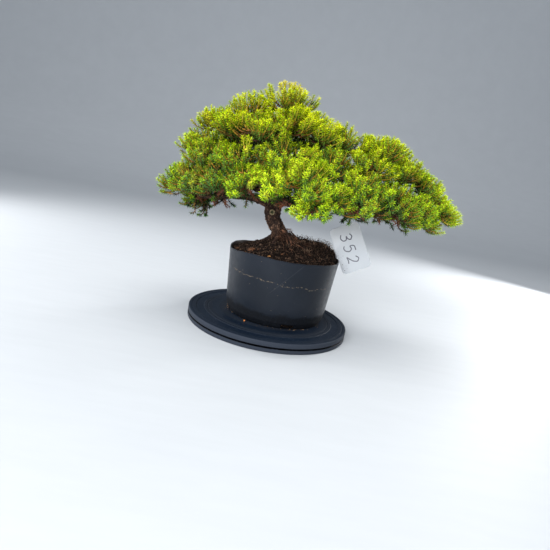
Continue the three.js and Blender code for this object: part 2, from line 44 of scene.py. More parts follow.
# Sizes shared with the solids
TABLE_TOP = 12.0
POT_AT = (7.0, 4.0)
POT_HEIGHT = 81.0
POT_WALL = 1.4
POT_FLOOR = 2.0
HOLE_FIRST = math.radians(-73)
HOLE_WIDTH = 16.0
HOLE_LOW, HOLE_HIGH = 1.2, 6.2
SOIL_EDGE_DROP = 3.5
SOIL_MOUND = 19.5
SOIL_RIGHT = 16.0
OPEN_SOIL = 60
FIT_GAP = 0.3
HEART_HEIGHT = 140.0
SHOOTS_IN_SPRAY = 16
STEPS_OF_TWIG = 12
TWIG_REACH = 22
GOLDEN_ANGLE = math.pi * (3 - math.sqrt(5))
LIFT = 0.12
UPTURN = 0.5
NEEDLE_LEAN = 1.12
FINGERS = 3
FINGER_GAP = 7.4
CLUMPS = 5
GATHERED = 0.36
DROOP = 0.012
TIP_NEEDLES = 2.2
CROWN_FOOT, CROWN_RISE = 130, 150
INNER_SHOOTS = 18
WITHERED = ("left_tip", "far_left", "left_hanging", "front_left", "front_left_low", "inner_front",
    "brow_low", "brow_left", "front_right_low", "far_right_low", "right_edge", "right_low", "right_tip",
    "right_mid")

# Each spray: the point its middle shoot reaches, its reach from the twig's end, its fan's half angle.
SPRAYS = {"apex": (-20, 8, 291, 44, 45), "apex_right": (0, 0, 270, 37, 42),
    "crown_left": (-66, 8, 274, 44, 43), "crown_front": (-42, -36, 250, 42, 46),
    "shoulder_left": (-95, 2, 252, 39, 44), "side_left": (-112, -8, 224, 37, 46),
    "left_tip": (-151, -4, 169, 34, 44), "left_hanging": (-121, 24, 141, 27, 42),
    "shoulder_right": (55, 0, 256, 42, 48), "right_crown": (103, 0, 254, 42, 47),
    "right_upper": (139, 0, 230, 37, 46), "right_mid": (173, 4, 211, 34, 46),
    "right_tip": (195, -4, 185, 28, 38), "right_low": (178, 10, 175, 28, 40),
    "brow_top": (16, -90, 202, 40, 48), "brow_left": (-15, -82, 192, 34, 46),
    "brow_right": (50, -82, 185, 36, 48), "brow_low": (30, -92, 172, 30, 45),
    "front_left_upper": (-60, -52, 214, 42, 48), "front_left": (-90, -58, 188, 38, 48),
    "front_left_low": (-54, -72, 188, 32, 46), "front_mid": (-8, -60, 226, 44, 48),
    "front_right_upper": (44, -46, 226, 42, 48), "front_right": (86, -52, 208, 40, 48),
    "front_right_far": (128, -44, 198, 40, 48), "front_right_low": (92, -66, 186, 34, 46),
    "far_right_low": (140, -38, 185, 34, 46), "far_left": (-124, -42, 179, 36, 48),
    "far_left_upper": (-104, -36, 210, 36, 48), "inner_crown": (24, -24, 259, 40, 48),
    "apex_front": (-12, -26, 262, 40, 48), "inner_left": (-72, -22, 248, 38, 48),
    "inner_front": (-30, -48, 200, 34, 48), "right_saddle": (92, -26, 232, 38, 48),
    "right_edge": (168, -26, 184, 32, 43), "back_crown": (-30, 54, 252, 44, 50),
    "back_left_upper": (-80, 52, 235, 42, 50), "back_left": (-122, 44, 186, 40, 50),
    "back_left_low": (-76, 76, 184, 40, 48), "back_mid": (-22, 80, 206, 42, 48),
    "back_right_upper": (32, 56, 243, 44, 50), "back_right_low": (34, 84, 180, 40, 48),
    "back_right": (84, 60, 214, 44, 50), "back_far_right": (130, 46, 196, 40, 50),
    "back_far_low": (90, 76, 174, 36, 46), "back_right_tip": (155, 38, 181, 34, 46)}

# Tufts on side twigs that round off the crown's edge or close a gap: the spray that bears each, then the
# tuft's tip, reach and half angle, and how much darker it is.
TUFTS = [("left_hanging", -129, -5, 137, 24, 46, 0.0), ("shoulder_left", -105, 0, 249, 24, 40, 0.0),
    ("right_crown", 87, 0, 249, 24, 40, 0.0), ("right_crown", 116, 0, 247, 22, 40, 0.0),
    ("right_upper", 157, 0, 220, 24, 44, 0.0), ("right_upper", 130, -2, 232, 24, 44, 0.0),
    ("side_left", -126, -5, 215, 22, 40, 0.0), ("back_right_upper", 14, 26, 240, 28, 50, 0.45),
    ("shoulder_right", 60, 16, 220, 28, 50, 0.45)]


# Small helpers
def draws_from(seed):
    """A repeatable draw between 0 and 1, the same as the solids' own."""
    modulus = 2147483647
    state = [(seed * 7919 + 17) % modulus]

    def draw():
        state[0] = (state[0] * 16807) % modulus
        return state[0] / modulus

    return draw


def unit(value):
    """The value held between 0 and 1."""
    return max(0.0, min(1.0, value))


def turbulence(spot, amplitude, frequency):
    return noise.turbulence(spot, 3, False, noise_basis="BLENDER", amplitude_scale=amplitude,
        frequency_scale=frequency)


def placed(name, data):
    """A new piece in the scene for a mesh, a lamp or a camera."""
    piece = bpy.data.objects.new(name, data)
    bpy.context.scene.collection.objects.link(piece)
    return piece


def carry(mesh, facts, domain="POINT"):
    """Stores facts on a mesh: name -> one number for each point, or each face."""
    for name, values in facts.items():
        layer = mesh.attributes.get(name) or mesh.attributes.new(name, "FLOAT", domain)
        layer.data.foreach_set("value", np.asarray(values, dtype=np.float32))


def soften(mesh, on=True):
    mesh.polygons.foreach_set("use_smooth", [on] * len(mesh.polygons))


def mesh_piece(name, points, faces, material, rounded=True, facts=None):
    """A new piece from millimetre points."""
    mesh = bpy.data.meshes.new(name)
    mesh.from_pydata((np.asarray(points, dtype=float) * MM).tolist(), [], faces)
    mesh.materials.append(material)
    carry(mesh, facts or {})
    soften(mesh, rounded)
    mesh.update()
    return placed(name, mesh)


def evaluated(piece):
    """The piece with its modifiers applied, as a plain mesh."""
    depsgraph = bpy.context.evaluated_depsgraph_get()
    seen = piece.evaluated_get(depsgraph)
    mesh = bpy.data.meshes.new_from_object(seen, preserve_all_data_layers=True, depsgraph=depsgraph)
    piece.modifiers.clear()
    piece.data = mesh
    mesh.name = piece.name
    return piece


def angles(sides):
    return [math.tau * k / sides for k in range(sides)]


def bands(rings, sides, closed=False, inward=False):
    """The faces between rings of points that follow one another."""
    faces = []
    for j in range(rings if closed else rings - 1):
        for k in range(sides):
            a, b, n = j * sides, (j + 1) % rings * sides, (k + 1) % sides
            faces.append((a + k, b + k, b + n, a + n) if inward else (a + k, a + n, b + n, b + k))
    return faces


def merged_piece(name, parts, material, rounded=True):
    """One piece from several (points, faces, facts) lists."""
    points, faces, facts = [], [], {}
    for part_points, part_faces, part_facts in parts:
        offset = len(points)
        points.extend(part_points)
        faces.extend([tuple(i + offset for i in face) for face in part_faces])
        for key, values in part_facts.items():
            facts.setdefault(key, []).extend(values)
    return mesh_piece(name, points, faces, material, rounded, facts)


def settle(piece, body, slot, *nodes):
    """Gives the piece its body and hides the nodes that it stands for; the slot is not used."""
    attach(piece, body)
    if nodes:
        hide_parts(*nodes)
    return piece


# Trees of nodes
class Tree:
    """A tree of nodes, with short ways to add them."""

    def add(self, kind, feeds=None, **settings):
        """A new node. feeds: input -> a value, or the output that feeds it."""
        node = self.tree.nodes.new(kind)
        for key, value in settings.items():
            setattr(node, key, value)
        for socket, value in (feeds or {}).items():
            self.feed(node, socket, value)
        return node

    def feed(self, node, socket, value):
        if isinstance(value, bpy.types.NodeSocket):
            self.tree.links.new(value, node.inputs[socket])
        else:
            node.inputs[socket].default_value = value

    def math(self, operation, a, b=0.0):
        return self.add("ShaderNodeMath", {0: a, 1: b}, operation=operation).outputs[0]

    def plus(self, a, b):
        return self.math("ADD", a, b)

    def minus(self, a, b):
        return self.math("SUBTRACT", a, b)

    def times(self, first, *others):
        for other in others:
            first = self.math("MULTIPLY", first, other)
        return first

    def range(self, value, low, high, to_low=0.0, to_high=1.0, slope=None):
        feeds = {"Value": value, "From Min": low, "From Max": high, "To Min": to_low, "To Max": to_high}
        node = self.add("ShaderNodeMapRange", feeds, interpolation_type=slope or self.slope)
        return node.outputs["Result"]


# Materials
class Look(Tree):
    """A material of nodes."""

    slope = "SMOOTHSTEP"

    def __init__(self, name, roughness=0.5, specular=0.5):
        self.material = bpy.data.materials.new(name)
        self.material.use_nodes = True
        self.tree = self.material.node_tree
        self.shader = self.tree.nodes["Principled BSDF"]
        self.roughness(roughness)
        self.feed(self.shader, "Specular IOR Level", specular)
        self.coords = self.add("ShaderNodeTexCoord").outputs["Object"]

    def attribute(self, name):
        return self.add("ShaderNodeAttribute", attribute_name=name).outputs["Fac"]

    def parts(self, vector=None):
        return self.add("ShaderNodeSeparateXYZ", {0: vector or self.coords}).outputs

    def stretch(self, scale):
        return self.add("ShaderNodeMapping", {"Vector": self.coords, "Scale": scale}).outputs[0]

    def noise(self, scale, detail=4.0, roughness=0.6, distortion=0.0, vector=None):
        feeds = {"Vector": vector or self.coords, "Scale": scale, "Detail": detail}
        feeds.update({"Roughness": roughness, "Distortion": distortion})
        return self.add("ShaderNodeTexNoise", feeds).outputs["Fac"]

    def ramp(self, value, stops):
        node = self.add("ShaderNodeValToRGB", {"Fac": value})
        elements = node.color_ramp.elements
        while len(elements) < len(stops):
            elements.new(0.5)
        for element, (place, colour) in zip(elements, stops):
            element.position = place
            element.color = (*colour, 1.0)
        return node.outputs["Color"]

    def mix(self, share, a, b, blend="MIX"):
        a, b = ((*value, 1.0) if isinstance(value, tuple) else value for value in (a, b))
        node = self.add("ShaderNodeMix", {0: share, 6: a, 7: b}, data_type="RGBA", blend_type=blend)
        return node.outputs[2]

    def colour(self, value):
        self.feed(self.shader, "Base Color", value)

    def roughness(self, value):
        self.feed(self.shader, "Roughness", value)

    def bump(self, height, strength, distance):
        node = self.add("ShaderNodeBump", {"Strength": strength, "Distance": distance, "Height": height})
        old = self.shader.inputs["Normal"].links
        if old:
            self.feed(node, "Normal", old[0].from_socket)
        self.feed(self.shader, "Normal", node.outputs["Normal"])


def needle_look():
    look = Look("needle_green", roughness=0.55, specular=0.07)
    # painted light: this value is the needle's age mixed with its shoot's sun, so better lit shoots are
    # painted brighter
    young = look.attribute("young")
    patches = look.noise(45.0, 3.0)
    young = look.plus(young, look.range(patches, 0.3, 0.7, -0.10, 0.10))
    green = look.ramp(young, [(0.0, (0.005, 0.022, 0.009)), (0.22, (0.020, 0.072, 0.018)),
        (0.45, (0.125, 0.240, 0.006)), (0.68, (0.320, 0.470, 0.004)), (0.90, (0.560, 0.670, 0.004)),
        (1.0, (0.700, 0.770, 0.014))])
    amber = look.mix(look.attribute("blush"), green, (0.75, 0.27, 0.05))
    reach = look.attribute("reach")
    # painted highlight: each needle is painted paler towards its tip
    pale = look.range(reach, 0.55, 1.0, 0.0, 0.10)
    tip_highlighted = look.mix(pale, amber, (0.62, 0.72, 0.012))
    # the face towards the shoot's tip carries two pale waxy bands
    waxy = look.times(look.attribute("inner"), look.range(young, 0.15, 0.75, 0.30, 0.08))
    banded = look.mix(waxy, tip_highlighted, (0.210, 0.370, 0.045))
    # yellower high in the crown, bluer below
    tint = look.mix(look.range(look.parts()[2], 0.165, 0.260), (0.88, 0.98, 1.40), (1.06, 1.0, 0.48))
    tinted = look.mix(1.0, banded, tint, "MULTIPLY")
    # a needle is darkest at its foot, where its neighbours shade it
    look.colour(look.mix(1.0, tinted, look.range(reach, 0.0, 0.55, 0.20, 1.42), "MULTIPLY"))
    return look.material


def young_stem_look():
    look = Look("young_stem", roughness=0.55, specular=0.3)
    # painted light: this value is the stem's age mixed with its shoot's sun
    along = look.attribute("young")
    streak = look.noise(900.0, 2.0)
    colour = look.ramp(along, [(0.0, (0.060, 0.026, 0.014)), (0.35, (0.330, 0.140, 0.026)),
        (0.6, (0.620, 0.340, 0.030)), (1.0, (0.640, 0.560, 0.040))])
    look.colour(look.mix(look.range(streak, 0.35, 0.75, 0.0, 0.35), colour, (0.10, 0.05, 0.02)))
    return look.material


def ramp_look(name, roughness, tone, stops, specular=0.2):
    """A look of one ramp of colours. tone: the scale, detail and roughness of the noise that it follows."""
    look = Look(name, roughness, specular)
    look.colour(look.ramp(look.noise(*tone), stops))
    return look


def bark_look():
    look = Look("juniper_bark", roughness=0.85, specular=0.2)
    along = look.stretch((1.0, 1.0, 0.6))
    plates = look.noise(160.0, 6.0, 0.65, 0.6, along)
    fine = look.noise(900.0, 4.0, 0.6, 0.0, along)
    wide = look.noise(38.0, 3.0, 0.5)
    brown = look.ramp(plates, [(0.28, (0.026, 0.013, 0.009)), (0.45, (0.090, 0.044, 0.027)),
        (0.60, (0.170, 0.090, 0.055)), (0.78, (0.320, 0.200, 0.135))])
    weathered = look.mix(look.range(wide, 0.45, 0.70, 0.0, 0.30), brown, (0.190, 0.125, 0.085))
    rooty = look.mix(look.attribute("rooty"), weathered,
        look.mix(plates, (0.010, 0.005, 0.0035), (0.080, 0.039, 0.023)))
    scar = look.mix(look.attribute("scar"), rooty, (0.300, 0.235, 0.130))
    heart = look.mix(look.attribute("scar_heart"), scar, (0.035, 0.045, 0.018))
    fissures = look.attribute("fissure")
    rough = look.noise(430.0, 3.0, 0.75)
    spotted = look.mix(look.range(rough, 0.39, 0.47, 0.90, 0.0), heart, (0.012, 0.006, 0.004))
    flaked = look.mix(look.range(rough, 0.57, 0.64, 0.0, 0.65), spotted, (0.330, 0.200, 0.130))
    look.colour(look.mix(fissures, flaked, (0.012, 0.007, 0.006)))
    look.bump(plates, 0.6, 0.0012)
    look.bump(fine, 0.35, 0.0004)
    return look.material


def soil_look():
    look = Look("peat", roughness=0.95, specular=0.12)
    grain = look.noise(420.0, 6.0, 0.7)
    clump = look.noise(90.0, 4.0, 0.6)
    dark = look.ramp(grain, [(0.30, (0.0035, 0.0025, 0.0020)), (0.50, (0.014, 0.0085, 0.0058)),
        (0.57, (0.056, 0.032, 0.021)), (0.67, (0.340, 0.215, 0.145))])
    look.colour(look.mix(look.range(clump, 0.35, 0.65, 0.0, 0.6), dark, (0.006, 0.0035, 0.0028)))
    look.bump(grain, 0.9, 0.0012)
    return look.material


def chip_look():
    look = Look("bark_chip", roughness=0.8, specular=0.2)
    tone = look.attribute("tone")
    grain = look.noise(500.0, 4.0, 0.6, 0.4)
    colour = look.ramp(tone, [(0.0, (0.022, 0.012, 0.008)), (0.45, (0.060, 0.032, 0.020)),
        (0.78, (0.210, 0.090, 0.042)), (1.0, (0.560, 0.250, 0.070))])
    look.colour(look.mix(look.range(grain, 0.4, 0.7, 0.0, 0.6), colour, (0.045, 0.020, 0.012)))
    look.bump(grain, 0.5, 0.0005)
    return look.material


def root_look():
    look = ramp_look("surface_root", 0.8, (90.0, 4.0), [(0.35, (0.012, 0.006, 0.004)),
        (0.52, (0.075, 0.034, 0.020)), (0.68, (0.360, 0.170, 0.095))])
    look.bump(look.noise(900.0, 3.0), 0.4, 0.0003)
    return look.material


def crumb_look():
    look = Look("fallen_crumb", roughness=0.9, specular=0.15)
    look.colour(look.ramp(look.attribute("tone"), [(0.0, (0.120, 0.070, 0.042)),
        (0.4, (0.330, 0.220, 0.130)), (0.85, (0.460, 0.320, 0.190)), (1.0, (0.640, 0.220, 0.060))]))
    return look.material


def pot_look():
    look = Look("pot_plastic", roughness=0.4, specular=0.26)
    middle = (POT_AT[0] * MM, POT_AT[1] * MM, TABLE_TOP * MM)
    centred = look.add("ShaderNodeVectorMath", {0: look.coords, 1: middle}, operation="SUBTRACT")
    x, y, z = look.parts(centred.outputs[0])
    angle = look.math("ARCTAN2", y, x)
    # the band of the foot: painted shade darkens it, and dust and splashes speckle it
    ragged = look.plus(z, look.range(look.noise(60.0, 5.0), 0.3, 0.7, -0.003, 0.003))
    foot = look.range(ragged, 0.013, 0.019, 1.0, 0.0)
    specks = look.noise(700.0, 3.0, 0.7)
    base = look.mix(look.range(look.noise(22.0, 4.0), 0.35, 0.7), (0.0056, 0.0088, 0.0148),
        (0.0092, 0.0130, 0.0205))
    dusty = look.mix(look.range(specks, 0.66, 0.74, 0.0, 0.25), base, (0.10, 0.095, 0.09))
    # a few dots of dried earth
    dusty = look.mix(look.range(look.noise(430.0, 1.0), 0.76, 0.80, 0.0, 0.7), dusty, (0.260, 0.200, 0.135))
    shaded_dusty_foot = look.mix(foot, dusty, look.mix(look.range(specks, 0.5, 0.66), (0.0012, 0.0022, 0.0045),
        (0.0075, 0.0105, 0.0160)))
    # the broken tan line that drying soil left in front
    line = look.range(angle, -2.75, -0.60, 0.0575, 0.0500, "LINEAR")
    wander = look.range(look.noise(70.0, 4.0, 0.7), 0.2, 0.8, -0.0022, 0.0022)
    off = look.math("ABSOLUTE", look.minus(look.plus(z, wander), line))
    thin = look.range(off, 0.00015, 0.00060, 1.0, 0.0)
    broken = look.range(look.noise(260.0, 4.0, 0.75), 0.46, 0.58)
    front = look.range(y, -0.030, -0.040, 0.0, 1.0)
    soil_line = look.times(thin, broken, front)
    # a long faint scratch
    climb = look.times(look.plus(angle, 1.68), 0.075)
    slant = look.math("ABSOLUTE", look.minus(climb, look.minus(z, 0.044)))
    scratch = look.times(look.range(slant, 0.0001, 0.0004, 0.11, 0.0), look.range(z, 0.036, 0.048),
        look.range(z, 0.080, 0.076), front)
    lined = look.mix(look.times(soil_line, 0.7), shaded_dusty_foot, (0.260, 0.200, 0.135))
    scratched = look.mix(scratch, lined, (0.22, 0.23, 0.24))
    # three small cracks, one below the other, near the right edge
    slope = look.plus(look.times(z, 11.4), angle)
    beside = look.math("ABSOLUTE", look.minus(slope, 0.098))
    beats = look.math("SINE", look.times(z, 1650.0))
    crack = look.times(look.range(beside, 0.022, 0.045, 1.0, 0.0), look.range(beats, -0.6, -0.1),
        look.range(z, 0.0525, 0.0530), look.range(z, 0.0635, 0.0630))
    marked = look.mix(crack, scratched, (0.002, 0.002, 0.003))
    # earth clings to the inside of the wall
    radius = look.math("SQRT", look.plus(look.times(x, x), look.times(y, y)))
    wall = look.plus(look.times(z, 0.074), 0.0612)
    inside = look.times(look.range(look.minus(wall, radius), -0.0002, 0.0003), look.range(z, 0.060, 0.062))
    look.colour(look.mix(inside, marked, look.mix(specks, (0.006, 0.006, 0.008), (0.05, 0.03, 0.02))))
    rough = look.plus(look.range(look.noise(140.0, 5.0), 0.3, 0.7, 0.30, 0.44), look.times(foot, 0.28))
    look.roughness(look.plus(rough, look.times(soil_line, 0.4)))
    look.bump(look.noise(35.0, 3.0), 0.25, 0.0006)
    look.bump(specks, 0.12, 0.0002)
    return look.material


def disc_look():
    look = Look("turntable_plastic", roughness=0.46, specular=0.04)
    flat = look.add("ShaderNodeVectorMath", {0: look.coords, 1: (1, 1, 0)}, operation="MULTIPLY").outputs[0]
    radius = look.add("ShaderNodeVectorMath", {0: flat}, operation="LENGTH").outputs["Value"]
    # rings turn from smooth navy to matt grey and back
    first_ring, ring_step = 0.0718, 0.0195
    wave = look.math("SINE", look.times(look.minus(radius, first_ring), math.tau / ring_step))
    band = look.times(look.range(wave, -0.35, 0.45), look.range(radius, 0.091, 0.0925, 1.0, 0.35))
    dust = look.noise(760.0, 2.0, 0.6)
    haze = look.noise(26.0, 4.0, 0.6)
    base = look.mix(band, (0.0062, 0.0122, 0.0235), (0.0155, 0.0205, 0.0300))
    dusted = look.mix(look.range(haze, 0.45, 0.8, 0.0, 0.2), base, (0.020, 0.024, 0.032))
    # painted highlight: the rims are painted paler; painted shade: the gap between the two discs is painted
    # dark
    rim_highlight = look.mix(look.range(radius, 0.0990, 0.0997), dusted, (0.036, 0.043, 0.057))
    from_slit = look.math("ABSOLUTE", look.minus(look.parts()[2], 0.0055))
    slit_shade = look.mix(look.range(from_slit, 0.0010, 0.0013, 1.0, 0.0), rim_highlight, (0.0005, 0.0006, 0.0010))
    look.colour(look.mix(look.range(dust, 0.57, 0.68, 0.0, 0.45), slit_shade, (0.052, 0.063, 0.085)))
    smooth = look.range(haze, 0.3, 0.7, 0.40, 0.50)
    look.roughness(look.plus(smooth, look.times(band, 0.14)))
    look.bump(dust, 0.08, 0.0002)
    return look.material


def steel_look():
    look = Look("bearing_steel", roughness=0.3)
    look.feed(look.shader, "Metallic", 1.0)
    rings = look.noise(300.0, 3.0)
    look.colour(look.mix(rings, (0.42, 0.43, 0.45), (0.55, 0.56, 0.58)))
    look.roughness(look.range(rings, 0.3, 0.7, 0.22, 0.4))
    return look.material


def label_look():
    look = Look("label_plastic", roughness=0.38, specular=0.5)
    cloud = look.noise(30.0, 3.0)
    x, y, z = look.parts()
    # painted light and shade: the head is painted greyer towards its lower end and whiter towards its top,
    # to offset the crown's shadow there
    dull = look.mix(cloud, (0.64, 0.665, 0.690), (0.70, 0.720, 0.740))
    painted_light_by_height = look.mix(look.range(z, 0.105, 0.150), dull, (0.92, 0.93, 0.93))
    # earth splashed on the lower end of the head, near its stem, and a dirty stem
    along = look.plus(look.times(x, 0.87), look.times(z, 0.494))
    near = look.range(along, 0.1225, 0.1145, 0.0, 1.0)
    lower = look.range(z, 0.108, 0.096, 0.0, 1.0)
    specks = look.range(look.noise(620.0, 1.0, 0.5), 0.66, 0.69)
    splashed = look.mix(look.times(near, lower, specks), painted_light_by_height, (0.05, 0.03, 0.02))
    stem = look.range(along, 0.1120, 0.1090, 0.0, 0.8)
    soiled = look.times(stem, look.range(look.noise(150.0, 5.0), 0.35, 0.6))
    look.colour(look.mix(soiled, splashed, (0.060, 0.035, 0.022)))
    look.roughness(look.range(cloud, 0.3, 0.7, 0.30, 0.45))
    look.bump(look.noise(500.0, 3.0), 0.06, 0.0001)
    return look.material


def floor_look():
    look = Look("pale_floor", roughness=0.55, specular=0.3)
    grain = look.noise(12.0, 4.0, 0.6, 0.0, look.stretch((1.0, 6.0, 1.0)))
    look.colour(look.mix(grain, (0.50, 0.52, 0.54), (0.55, 0.57, 0.59)))
    return look.material


NEEDLE = needle_look()
YOUNG_STEM = young_stem_look()
DEAD_NEEDLE = ramp_look("dead_needle", 0.75, (160.0, 3.0),
    [(0.25, (0.085, 0.028, 0.016)), (0.5, (0.240, 0.085, 0.042)), (0.75, (0.420, 0.200, 0.110))]).material
BARK = bark_look()
PEAT = soil_look()
CHIP = chip_look()
FIBRE = ramp_look("root_fibre", 0.8, (120.0, 3.0), [(0.35, (0.006, 0.004, 0.003)),
    (0.53, (0.040, 0.022, 0.014)), (0.68, (0.340, 0.215, 0.140))]).material
ROOT = root_look()
CRUMB = crumb_look()
POT = pot_look()
DISC = disc_look()
STEEL = steel_look()
LABEL = label_look()
PENCIL = ramp_look("pencil_marks", 0.6, (1500.0, 3.0, 0.7),
    [(0.3, (0.090, 0.090, 0.110)), (0.7, (0.26, 0.26, 0.29))], specular=0.3).material


# Foliage
def spray_plan(spray, index):
    x, y, z, reach, spread = spray
    tip = Vector((x, y, z))
    heart = Vector((x * 0.72, y * 0.55, HEART_HEIGHT))
    out = (tip - heart).normalized()
    side = Vector((-out.y, out.x, 0))
    if side.length_squared < 1e-4:
        side = Vector((1, 0, 0))
    side.normalize()
    return {"base": tip - out * reach, "out": out, "side": side, "across": out.cross(side), "reach": reach,
        "spread": math.radians(spread * 1.3), "seed": index + 1}


def shoots_of(plan):
    """Where each shoot of a spray starts, turns up and ends, by the solids' own rule."""
    draw = draws_from(plan["seed"])
    out, side, across, reach = plan["out"], plan["side"], plan["across"], plan["reach"]
    shoots = []
    for i in range(SHOOTS_IN_SPRAY):
        share = (i + 0.5) / SHOOTS_IN_SPRAY
        lean = plan["spread"] * math.sqrt(share) + 0.1 * (draw() - 0.5)
        around = GOLDEN_ANGLE * i + plan["seed"] + 0.5 * (draw() - 0.5)
        length = reach * (0.84 + 0.20 * draw())
        aside, up = math.sin(lean) * math.cos(around), math.sin(lean) * math.sin(around)
        direction = out * math.cos(lean) + side * aside + across * up
        tip = plan["base"] + direction * length
        tip.z += LIFT * reach * (1 - direction.z)
        start = plan["base"] + out * (reach * (0.30 - 0.22 * share))
        heading = (direction * (1 - UPTURN) + Vector((0, 0, UPTURN))).normalized()
        turn = tip - heading * ((tip - start).length * 0.6)
        shoots.append((start, turn, tip, heading))
    return shoots


def bezier(start, turn, tip, share):
    return start * (1 - share) ** 2 + turn * (2 * share * (1 - share)) + tip * share**2


def awl_needle():
    """One needle along +Z, 1 m long: broad and flat at its foot, drawn out to a sharp tip."""
    points = [(-0.15, 0.05, 0), (0.15, 0.05, 0), (0, -0.06, 0), (0, 0.02, 1)]
    needle = form_of("needle_form", points, [(0, 1, 2), (0, 3, 1), (1, 3, 2), (2, 3, 0)])
    carry(needle.data, {"reach": [z for x, y, z in points]})
    carry(needle.data, {"inner": [0, 1, 0, 0]}, "FACE")
    return needle


def form_of(name, points, faces):
    """A form that is only shown where a rule sets copies of it."""
    mesh = bpy.data.meshes.new(name)
    mesh.from_pydata(points, [], faces)
    mesh.update()
    return bpy.data.objects.new(name, mesh)


class Rule(Tree):
    """A Geometry Nodes tree. inputs: label -> the kind of its socket."""

    slope = "LINEAR"

    def __init__(self, name, inputs):
        self.tree = bpy.data.node_groups.new(name, "GeometryNodeTree")
        face = self.tree.interface
        face.new_socket("Geometry", in_out="INPUT", socket_type="NodeSocketGeometry")
        self.names = {}
        for label, kind in inputs.items():
            socket = face.new_socket(label, in_out="INPUT", socket_type="NodeSocket" + kind)
            self.names[label] = socket.identifier
        face.new_socket("Geometry", in_out="OUTPUT", socket_type="NodeSocketGeometry")
        self.source = self.add("NodeGroupInput")
        self.result = self.add("NodeGroupOutput")

    def value(self, label):
        return self.source.outputs[label]

    def chance(self, low, high, seed):
        feeds = {2: low, 3: high, "Seed": self.plus(self.value("Seed"), seed)}
        return self.add("FunctionNodeRandomValue", feeds, data_type="FLOAT").outputs[1]

    def read(self, name, kind="FLOAT"):
        node = self.add("GeometryNodeInputNamedAttribute", {"Name": name}, data_type=kind)
        return node.outputs["Attribute"]

    def store(self, geometry, name, value, kind="FLOAT"):
        feeds = {"Geometry": geometry, "Name": name, "Value": value}
        return self.add("GeometryNodeStoreNamedAttribute", feeds, data_type=kind, domain="POINT").outputs[0]

    def turn(self, rotation, axis, angle):
        by = self.add("FunctionNodeAxisAngleToRotation", {"Axis": axis, "Angle": angle}).outputs[0]
        feeds = {"Rotation": rotation, "Rotate By": by}
        return self.add("FunctionNodeRotateRotation", feeds, rotation_space="LOCAL").outputs[0]

    def without(self, points, chosen):
        feeds = {"Geometry": points, "Selection": chosen}
        return self.add("GeometryNodeDeleteGeometry", feeds, domain="POINT").outputs[0]

    def strand(self, line, sides):
        """A closed tube round a line, as thick as the girth its points carry."""
        ring = self.add("GeometryNodeCurvePrimitiveCircle", mode="RADIUS")
        self.feed(ring, "Resolution", sides)
        self.feed(ring, "Radius", 1.0)
        feeds = {"Curve": line, "Scale": self.read("girth"), "Profile Curve": ring.outputs[0]}
        return self.add("GeometryNodeCurveToMesh", {**feeds, "Fill Caps": True}).outputs[0]

    def copies(self, points, form, rotation, x, y, z):
        """A copy of the form on each point, turned and sized."""
        shown = self.add("GeometryNodeObjectInfo", {"Object": form}).outputs["Geometry"]
        size = self.add("ShaderNodeCombineXYZ", {0: x, 1: y, 2: z}).outputs[0]
        feeds = {"Points": points, "Instance": shown, "Rotation": rotation, "Scale": size}
        return self.add("GeometryNodeInstanceOnPoints", feeds).outputs[0]

    def clad(self, geometry, material):
        made = self.add("GeometryNodeRealizeInstances", {"Geometry": geometry}).outputs[0]
        return self.add("GeometryNodeSetMaterial", {"Geometry": made, "Material": material}).outputs[0]

    def run(self, piece, **values):
        """Applies the tree to a piece and leaves a plain mesh."""
        modifier = piece.modifiers.new("rule", "NODES")
        modifier.node_group = self.tree
        for label, value in values.items():
            modifier[self.names[label]] = value
        return evaluated(piece)


